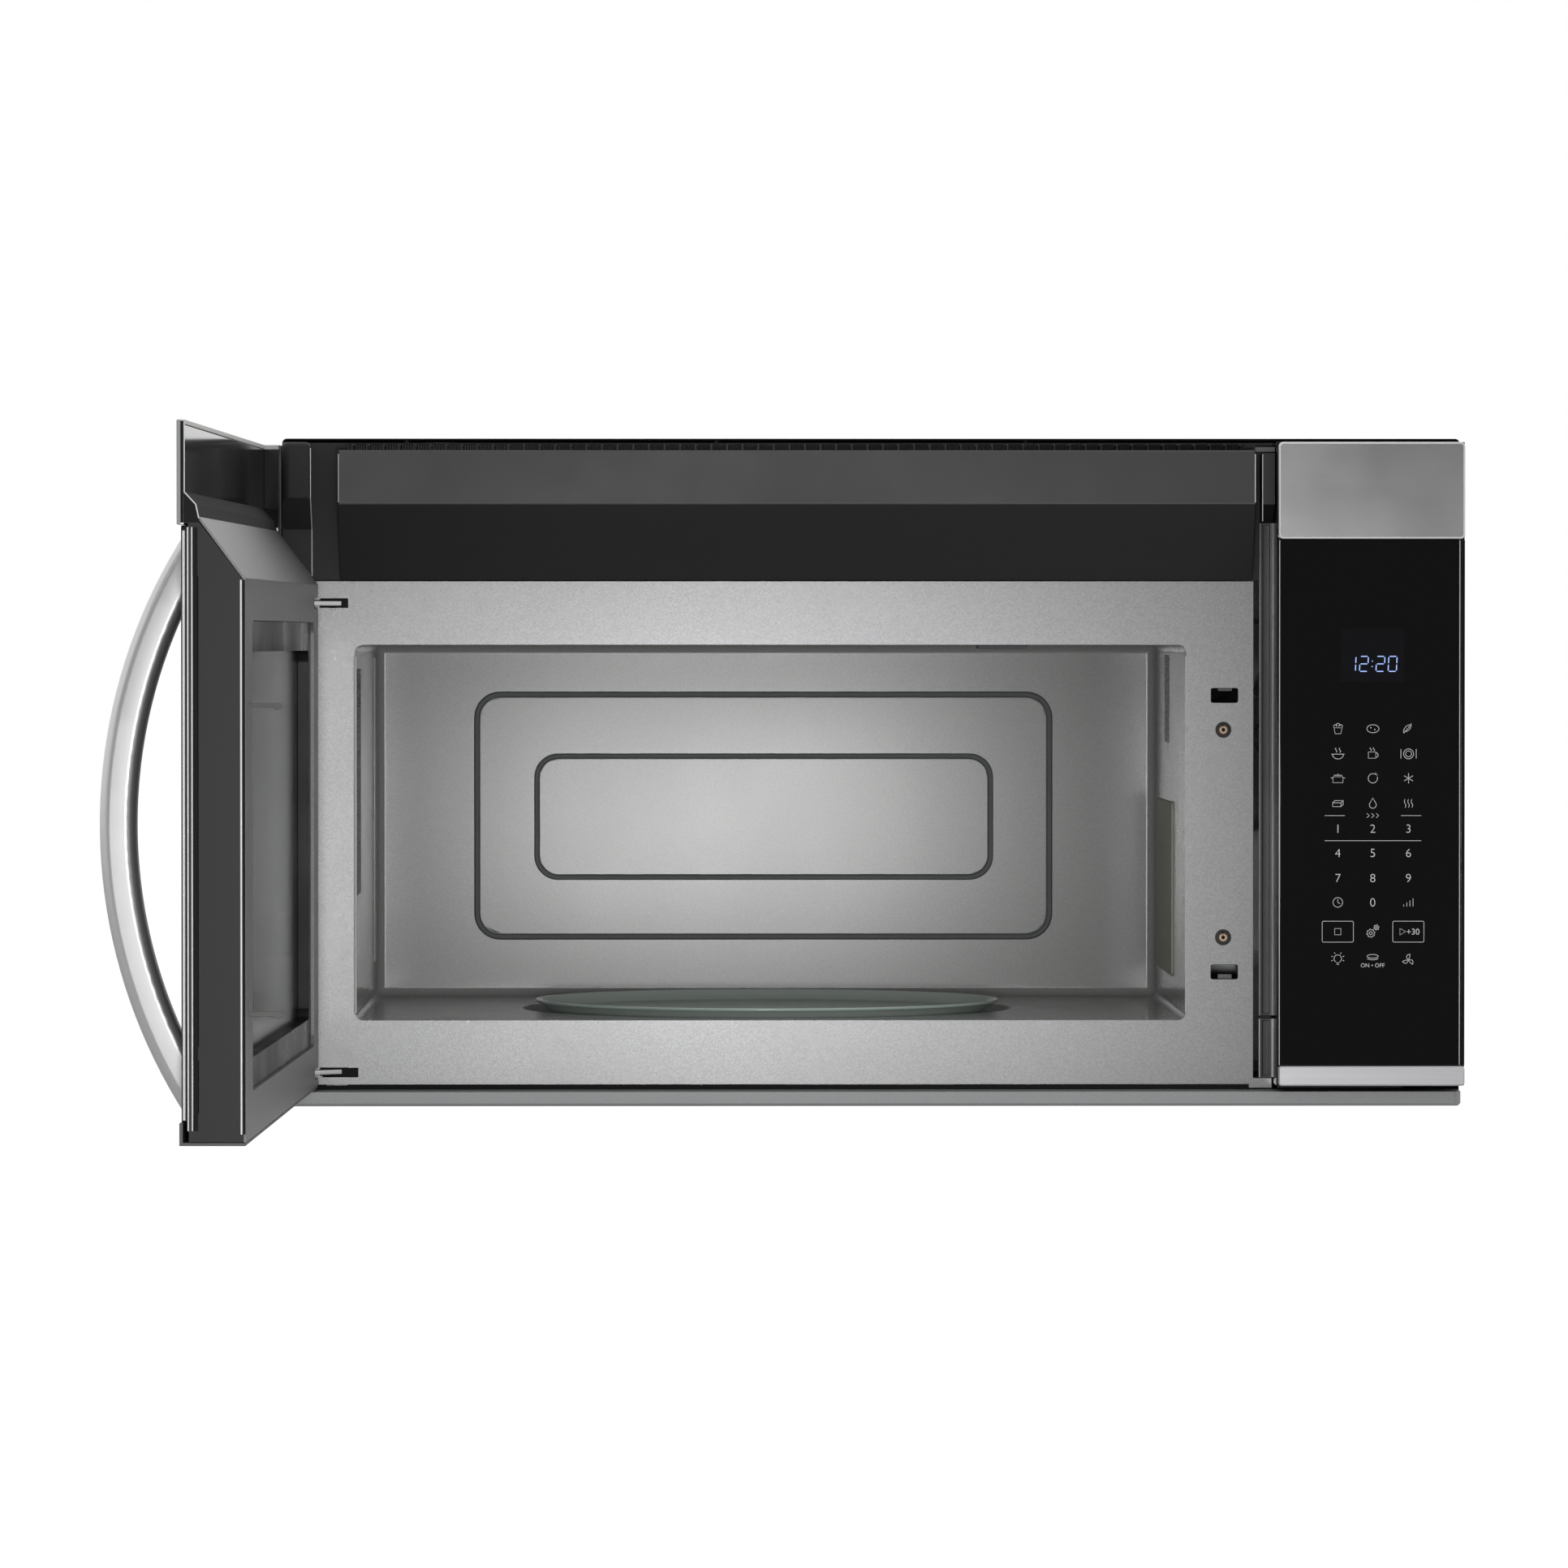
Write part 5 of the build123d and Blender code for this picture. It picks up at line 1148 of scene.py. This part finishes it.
# each symbol as lines of (u, v) points about the middle of its key
MARKS = {
    "popcorn": [
        loop((-2.6, 0.6), (-1.8, -3.2), (1.8, -3.2), (2.6, 0.6)),
        arc(-1.7, 1.5, 1.1, 0, 200), arc(0, 2.2, 1.2, -20, 200), arc(1.7, 1.5, 1.1, -20, 180),
    ],
    "potato": [
        arc(0, 0, 3.9, squeeze=0.66), arc(-1.3, 0.6, 0.25, steps=6), arc(1.2, -0.5, 0.25, steps=6)
    ],
    "leaf": [
        arc(1.4, -2.0, 4.6, 95, 190, 12), arc(-3.0, 2.6, 4.6, -85, 10, 12),
        [(-3.2, -2.9), (1.0, 2.0)],
    ],
    "bowl": [
        arc(0, -0.2, 3.6, 180, 360, squeeze=0.85), [(-4.2, -0.2), (4.2, -0.2)],
        steam(-1.2, 0.9), steam(1.2, 0.9),
    ],
    "mug": [
        loop((-2.9, 1.2), (-2.9, -2.8), (1.9, -2.8), (1.9, 1.2)),
        arc(1.9, -0.8, 1.5, -90, 90, 10), steam(-1.4, 2.0, 2.0), steam(0.6, 2.0, 2.0),
    ],
    "plate": [
        arc(0, 0, 3.2), arc(0, 0, 1.9), [(-4.9, -3.0), (-4.9, 3.0)], [(4.9, -3.0), (4.9, 3.0)]
    ],
    "pot": [
        loop((-3.2, 1.0), (-3.2, -2.8), (3.2, -2.8), (3.2, 1.0)),
        [(-4.6, 0.2), (-3.2, 0.2)], [(3.2, 0.2), (4.6, 0.2)],
        [(-2.6, 2.0), (2.6, 2.0)], [(0, 2.0), (0, 3.0)],
    ],
    "reheat": [arc(0, 0, 3.0, 60, 380), [(2.0, 3.6), (1.5, 2.6), (2.9, 2.1)]],
    "frost": spokes((30, 90, 150), -3.3, 3.3),
    "butter": [
        loop((-3.4, -2.0), (2.0, -2.0), (3.4, -0.6), (3.4, 1.8), (-2.0, 1.8), (-3.4, 0.4)),
        [(-3.4, 0.4), (2.0, 0.4), (3.4, 1.8)], [(2.0, 0.4), (2.0, -2.0)],
    ],
    "drop": [loop((0, 3.5), *arc(0, -0.9, 2.2, 30, -210, 20))],
    "warm": [steam(-2.2, -2.6, 5.2), steam(0, -2.6, 5.2), steam(2.2, -2.6, 5.2)],
    "clock": [arc(0, 0, 3.1), [(0, 1.9), (0, 0), (1.4, -0.9)]],
    "level": [[(-3.0 + 2.0 * i, -2.6), (-3.0 + 2.0 * i, -1.4 + 1.3 * i)] for i in range(4)],
    "heading": [[(x - 0.8, 1.4), (x + 0.8, 0), (x - 0.8, -1.4)] for x in (-3.0, 0.0, 3.0)],
    "stop": [loop((-2.0, -2.0), (2.0, -2.0), (2.0, 2.0), (-2.0, 2.0))],
    "start": [loop((-5.4, 2.2), (-1.8, 0), (-5.4, -2.2))],
    "bulb": [
        arc(0, 0.9, 2.4, -62, 242, 18), [(-0.9, -1.9), (0.9, -1.9)], [(-0.7, -2.8), (0.7, -2.8)],
        *spokes((-20, 20, 60, 120, 160, 200), 3.4, 4.4, 1.0),
    ],
    "turntable": [arc(0, 0, 3.6, squeeze=0.32), arc(0, -1.1, 3.6, 195, 345, 12, 0.32)],
    "fan": fan_blades(),
    "large gear": gear(2.7, 8),
    "small gear": gear(1.7, 6),
}
WORD_KEYS = (
    ("popcorn", "potato", "leaf"),
    ("bowl", "mug", "plate"),
    ("pot", "reheat", "frost"),
    ("butter", "drop", "warm"),
)


class LegendOperator(bpy.types.Operator):
    """Print the key numbers, generic key symbols and lines on the panel glass"""

    bl_idname = "microwave.legends"
    bl_label = "Key legends"

    def execute(self, context):
        s = context.scene.microwave_panel
        self.symbols(s)
        self.lines(s)
        self.numbers(s)
        return {"FINISHED"}

    def symbols(self, s):
        """The symbol of each key, at its place."""
        left, centre, right = KEY_X
        places = []
        for z, row in zip(WORD_ROWS, WORD_KEYS):
            places += [(x, z, mark) for x, mark in zip(KEY_X, row)]
        places += [
            (left, ZERO_ROW, "clock"),
            (right, ZERO_ROW, "level"),
            (left, BOX_ROW, "stop"),
            (right, BOX_ROW, "start"),
            (left, LAST_ROW, "bulb"),
            (centre, LAST_ROW + 2.4, "turntable"),
            (right, LAST_ROW, "fan"),
            (centre - 1.2, BOX_ROW - 1.0, "large gear"),
            (centre + 2.4, BOX_ROW + 2.7, "small gear"),
            (centre, HEADING_ROW, "heading"),
        ]
        strokes = []
        for x, z, mark in places:
            strokes += [[(x + u, z + v) for u, v in line] for line in MARKS[mark]]
        print_on_panel("key_symbols", [pen_lines(strokes, s.stroke)], 0.15)

    def lines(self, s):
        """The rules round the quick keys, and the two framed keys."""
        start, end = RULE_ENDS
        strokes = [
            [(start, HEADING_ROW), (start + 13.0, HEADING_ROW)],
            [(end - 13.0, HEADING_ROW), (end, HEADING_ROW)],
            [(start, RULE_ROW), (end, RULE_ROW)],
        ]
        wide, tall = BOX_HALF
        for x in (KEY_X[0], KEY_X[2]):
            low, high = (x - wide, BOX_ROW - tall), (x + wide, BOX_ROW + tall)
            strokes.append(rounded_outline(low, high, 0.9, 4))
        print_on_panel("key_lines", [pen_lines(strokes, s.stroke * 0.9)], 0.15)

    def numbers(self, s):
        """The numbers 0 to 9, and the small marks that go with three keys."""
        words = []
        for row, z in enumerate(NUMBER_ROWS):
            words += [(str(1 + 3 * row + column), x, z, 1.0) for column, x in enumerate(KEY_X)]
        words += [
            ("0", KEY_X[1], ZERO_ROW, 1.0),
            ("+30", KEY_X[2] + 3.0, BOX_ROW, 0.72),
            ("ON • OFF", KEY_X[1], LAST_ROW - 3.4, 0.48),
        ]
        meshes = [self.word(text, x, z, share * s.digit_height) for text, x, z, share in words]
        print_on_panel("key_numbers", meshes, 1.0)

    def word(self, text, x, z, height):
        """One printed word, centred on its key; a single figure is drawn thinner."""
        curve = bpy.data.curves.new("pen", "FONT")
        curve.body = text
        curve.align_x = "CENTER"
        curve.size = 1.0
        curve.extrude = 0.00006
        curve.offset = -0.012 if len(text) == 1 else 0.0
        mesh = mesh_from_curve(curve)
        heights = [v.co.y for v in mesh.vertices]
        low, high = min(heights), max(heights)
        scale = height / (high - low)
        place = Matrix.Translation((x * MM, z * MM, 0)) @ Matrix.Diagonal((scale, scale, 1, 1))
        mesh.transform(place @ Matrix.Translation((0, -(high + low) / 2, 0)))
        return mesh


# the lit bars of each figure: upper, upper left and right, middle, lower left and right, lower
SEGMENTS = {"1": "..x..x.", "2": "x.xxx.x", "0": "xxx.xxx"}
# the figures of the clock with the left edge of each, and the place of the colon
CLOCK_FIGURES = (("1", 304.3), ("2", 312.2), ("2", 322.8), ("0", 330.6))
CLOCK_COLON = 320.2
CLOCK_BOTTOM = 279.6
CLOCK_LEAN = 0.05


class ClockOperator(bpy.types.Operator):
    """Build the display window and its lit clock"""

    bl_idname = "microwave.clock"
    bl_label = "Clock display"

    def execute(self, context):
        s = context.scene.microwave_panel
        thickness = (PANEL_GLASS_FRONT - 0.05, PANEL_GLASS_FRONT + 0.2)
        window = ((300.0, 341.0), thickness, (273.0, 307.0))
        box_piece("display_window", [window], "cabinet", "display_glass")
        tall, width = s.clock_height / MM, s.clock_stroke / MM
        bm = bmesh.new()
        for figure, left in CLOCK_FIGURES:
            self.figure(bm, SEGMENTS[figure], left, tall, width)
        for z in (CLOCK_BOTTOM + tall * 0.32, CLOCK_BOTTOM + tall * 0.68):
            self.bar(bm, CLOCK_COLON, z - 0.5, CLOCK_COLON, z + 0.5, width)
        lean = Matrix.Identity(4)
        lean[0][2] = CLOCK_LEAN
        foot = Matrix.Translation((0, 0, -CLOCK_BOTTOM * MM))
        bmesh.ops.transform(bm, matrix=lean, space=foot, verts=bm.verts)
        place_piece("clock_digits", bm, "cabinet", "clock", weighted=False)
        return {"FINISHED"}

    def bar(self, bm, x0, z0, x1, z1, width):
        """One pointed segment between two points."""
        h = width / 2
        if abs(x1 - x0) > abs(z1 - z0):
            near, far = ((x0 + h, z0 + h), (x1 - h, z0 + h)), ((x1 - h, z0 - h), (x0 + h, z0 - h))
        else:
            near, far = ((x0 + h, z0 + h), (x0 + h, z1 - h)), ((x0 - h, z1 - h), (x0 - h, z0 + h))
        outline = ((x0, z0), *near, (x1, z1), *far)
        add_plate(bm, outline, PANEL_GLASS_FRONT - 0.12, PANEL_GLASS_FRONT)

    def figure(self, bm, lit, left, tall, width):
        """One figure of the clock, from its lit bars."""
        right, bottom = left + tall * 0.55, CLOCK_BOTTOM
        middle, top = bottom + tall / 2, bottom + tall
        gap = width * 0.55
        bars = (
            (left + gap, top, right - gap, top),
            (left, middle + gap, left, top - gap),
            (right, middle + gap, right, top - gap),
            (left + gap, middle, right - gap, middle),
            (left, bottom + gap, left, middle - gap),
            (right, bottom + gap, right, middle - gap),
            (left + gap, bottom, right - gap, bottom),
        )
        for mark, bar in zip(lit, bars):
            if mark == "x":
                self.bar(bm, *bar, width)


class PanelOperator(bpy.types.Operator):
    """Finish the control panel: tub, glass and steel trims"""

    bl_idname = "microwave.control_panel"
    bl_label = "Control panel"

    def execute(self, context):
        finish_node("panel_housing", "cabinet", "gloss", edge=0.4)
        trim_block("panel_top_trim", corner=3.0, chamfer=1.5, material="steel_flat")
        finish_node("panel_glass", "cabinet", "black_glass", edge=0.12)
        trim_block("panel_bottom_trim", corner=2.0, chamfer=0.9, material="steel_bright")
        self.edge_lines()
        self.block_rim()
        paint_nodes({"display_module": "gloss", "control_board": "board"})
        return {"FINISHED"}

    def edge_lines(self):
        """Bright rods on both sides of the panel glass, and of the tub beside it: painted
        highlights on their thin polished edges.
        """
        left, right = span("panel_glass", 0)
        low, high = span("panel_glass", 2)
        edges = ((left + 0.1, 0.3, 0.26), (right - 0.2, 0.1, 0.26), (379.6, 1.3, 0.36))
        bm = bmesh.new()
        for x, behind, radius in edges:
            add_upright_rod(bm, x, PANEL_GLASS_FRONT + behind, (low + 0.3, high - 0.3), radius, 12)
        place_piece("panel_edge_lines", bm, "cabinet", "bright_line")

    def block_rim(self):
        """A bright line round the face of the top block: a painted highlight on its turned edge."""
        (left, right), (low, high) = span("panel_top_trim", 0), span("panel_top_trim", 2)
        front = span("panel_top_trim", 1)[0]
        inset = 0.85
        outline = rounded_outline((left + inset, low + inset), (right - inset, high - inset), 2.2)
        bm = stood_up([pen_lines([outline], 1.5 * MM)], front + 0.65)
        place_piece("block_rim", bm, "cabinet", "bright_line")


# ======================================================================
# Door
# ======================================================================
# the free edge: depths behind the closed door's front, radii and heights of its bright lines, which
# are painted highlights
FREE_EDGE_LINES = (
    (4.0, 0.8, (26.0, 362.0)), (6.4, 0.55, (20.0, 364.0)), (8.7, 0.6, (20.0, 364.0)),
    (36.7, 1.1, (18.0, 334.0)),
)
# depths and heights of the dark joints beside those lines; the last is a near-black plate of
# painted shade over half the end of the steel strip
FREE_EDGE_JOINTS = (
    ((9.4, 12.0), (20.0, 364.0)), ((37.6, 39.0), (18.0, 334.0)), ((2.3, 4.1), (366.5, 424.5))
)
# depth and height of each corner of the carrier's upper rim, where a bright rod paints its
# highlight
UPPER_RIM = ((4.4, 423.6), (4.4, 384.0), (11.0, 376.9), (12.7, 369.0))


def depths(near, far):
    """The Y places of two points behind the front of the closed door."""
    return door_depth(near), door_depth(far)


class DoorOperator(bpy.types.Operator):
    """Finish the door: carrier, glass, steel strips, inner frame and window"""

    bl_idname = "microwave.door"
    bl_label = "Door"

    def execute(self, context):
        finish_node("door_body", "door", "carrier", edge=0.35)
        finish_node("door_glass", "door", "black_glass", edge=0.35)
        finish_node("door_top_trim", "door", "steel_door", edge=0.2)
        finish_node("door_bottom_trim", "door", "dull", edge=0.3)
        finish_node("door_inner_frame", "door", "door_silver", edge=0.3)
        finish_node("choke_cover", "door", "choke", edge=0.3)
        finish_node("inner_window", "door", "window", edge=0.2)
        finish_node("latch_bar", "latch", "dull", edge=0.25)
        paint_nodes({
            "door_screen": "screen", "handle_screws": "steel",
            "hinge_pins": "steel", "latch_spring": "steel",
        })
        self.edge_lines()
        edge = (DOOR_RIGHT - 1.0, DOOR_RIGHT + 0.12)
        joints = [(edge, depths(*t), heights) for t, heights in FREE_EDGE_JOINTS]
        box_piece("free_edge_joints", joints, "door", "hole")
        # the cut end of the steel strip, in the grey tray paint: painted shade that dims its bright
        # steel
        end = ((DOOR_RIGHT - 1.0, DOOR_RIGHT + 0.10), depths(0.1, 2.3), (365.6, 425.0))
        box_piece("strip_end", [end], "door", "pan")
        # the folded steel lip along the inner top edge and its end, in white paint: a painted
        # highlight of the lit steel
        lip_height = (422.7, 425.2)
        lip = (
            ((-378.0, DOOR_RIGHT - 0.2), depths(4.0, 4.7), lip_height),
            ((-378.2, -377.4), depths(4.6, 13.6), lip_height),
        )
        box_piece("top_lip", lip, "door", "white_plastic", soft=0.15)
        # the thin dark lip on the end return, beside the cabinet
        dark_lip = ((-378.4, -377.75), depths(13.0, 14.8), (363.0, 425.0))
        box_piece("return_lip", [dark_lip], "door", "plastic")
        return {"FINISHED"}

    def edge_lines(self):
        """The bright lines down the free edge: painted highlights on the glass edge, the carrier
        edges and the rims.
        """
        bm = bmesh.new()
        for t, radius, heights in FREE_EDGE_LINES:
            add_upright_rod(bm, DOOR_RIGHT + 0.15 - radius, door_depth(t), heights, radius, 20)
        rim = [(DOOR_RIGHT - 0.25, door_depth(t), z) for t, z in UPPER_RIM]
        for start, end in zip(rim, rim[1:]):
            add_bar(bm, start, end, 0.4)
        swing_open(bm)
        place_piece("free_edge_lines", bm, "door", "bright_line")


class HandleOperator(bpy.types.Operator):
    """Finish the bowed handle bar"""

    bl_idname = "microwave.handle"
    bl_label = "Handle"

    def execute(self, context):
        finish_node("handle", "door", "steel_bow", edge=0.0, smooth=22)
        return {"FINISHED"}


# ======================================================================
# Turntable, underside and inner works
# ======================================================================
class TurntableOperator(bpy.types.Operator):
    """Finish the glass tray, its coupler, the roller ring and the rollers"""

    bl_idname = "microwave.turntable"
    bl_label = "Turntable"

    def execute(self, context):
        tint = tuple(context.scene.microwave_tray.glass_tint)
        FINISHES["tray"] = plain("Tray Glass", tint, 0.16, Alpha=0.90)
        FINISHES["tray_edge"] = plain("Tray Edge Glass", (0.60, 0.76, 0.68), 0.08)
        finish_node("glass_tray", "turntable", "tray", edge=0.25)
        self.tray_edge()
        finish_node("roller_ring", "ring", "white_plastic", edge=0.3)
        coupler_and_rollers = ("drive_coupler", "roller_1", "roller_2", "roller_3")
        paint_nodes(dict.fromkeys(coupler_and_rollers, "white_plastic"))
        return {"FINISHED"}

    def tray_edge(self):
        """The lighter rounded rim of the tray."""
        (left, right), (front, back) = span("glass_tray", 0), span("glass_tray", 1)
        middle = ((left + right) / 2, (front + back) / 2, span("glass_tray", 2)[1])
        radius, drop, thick = (right - left) / 2 - 1.2, -1.0, 1.1
        turns = [tau * i / 10 for i in range(10)]
        profile = [(radius + thick * cos(a), drop + thick * sin(a)) for a in turns]
        bm = bmesh.new()
        add_round_ring(bm, middle, "Z", profile, 128)
        close_up(bm)
        place_piece("tray_edge", bm, "turntable", "tray_edge", weighted=False)


class UndersideOperator(bpy.types.Operator):
    """Finish the grease filters, the lamp cover and the cooktop lamp"""

    bl_idname = "microwave.underside"
    bl_label = "Underside"

    def execute(self, context):
        finish_node("grease_filter_left", "filter_l", "filter", edge=0.3)
        finish_node("grease_filter_right", "filter_r", "filter", edge=0.3)
        finish_node("lamp_cover", "lamp_door", "lamp_glass", edge=0.2)
        paint_nodes({"cooktop_lamp": "zinc"})
        return {"FINISHED"}


class WorksOperator(bpy.types.Operator):
    """Finish the blower, the microwave source and the cooling parts"""

    bl_idname = "microwave.works"
    bl_label = "Inner works"

    def execute(self, context):
        paint_nodes({
            "blower_housing": "zinc", "blower_motor": "core", "blower_wheels": "zinc",
            "waveguide": "zinc", "magnetron": "magnet", "hv_transformer": "core",
            "hv_capacitor": "magnet", "cooling_shroud": "white_plastic",
            "cooling_fan": "white_plastic", "turntable_motor": "zinc",
        })
        return {"FINISHED"}


# ======================================================================
# Add-on
# ======================================================================
SETTINGS = {
    "microwave_studio": StudioSettings,
    "microwave_finish": FinishSettings,
    "microwave_vent": VentSettings,
    "microwave_cavity": CavitySettings,
    "microwave_panel": PanelSettings,
    "microwave_tray": TraySettings,
}
OPERATORS = (
    StudioOperator,
    ShellOperator,
    FaceFrameOperator,
    CavityOperator,
    VentOperator,
    PanelOperator,
    ClockOperator,
    LegendOperator,
    DoorOperator,
    HandleOperator,
    TurntableOperator,
    UndersideOperator,
    WorksOperator,
)


class MicrowavePanel(bpy.types.Panel):
    """The steps that dress the microwave"""

    bl_idname = "VIEW3D_PT_microwave"
    bl_label = "Microwave"
    bl_space_type = "VIEW_3D"
    bl_region_type = "UI"
    bl_category = "Microwave"

    def draw(self, context):
        for operator in OPERATORS:
            self.layout.operator(operator.bl_idname)
        for name, group in SETTINGS.items():
            box = self.layout.box()
            settings = getattr(context.scene, name)
            for prop in group.__annotations__:
                box.prop(settings, prop)


def register():
    for name, group in SETTINGS.items():
        bpy.utils.register_class(group)
        setattr(bpy.types.Scene, name, PointerProperty(type=group))
    for operator in OPERATORS:
        bpy.utils.register_class(operator)
    bpy.utils.register_class(MicrowavePanel)


def unregister():
    bpy.utils.unregister_class(MicrowavePanel)
    for operator in reversed(OPERATORS):
        bpy.utils.unregister_class(operator)
    for name, group in reversed(SETTINGS.items()):
        delattr(bpy.types.Scene, name)
        bpy.utils.unregister_class(group)


def main():
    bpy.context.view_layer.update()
    register()
    build_finishes(bpy.context.scene.microwave_finish)
    for operator in OPERATORS:
        group, name = operator.bl_idname.split(".")
        getattr(getattr(bpy.ops, group), name)()


if __name__ == "__main__":
    main()
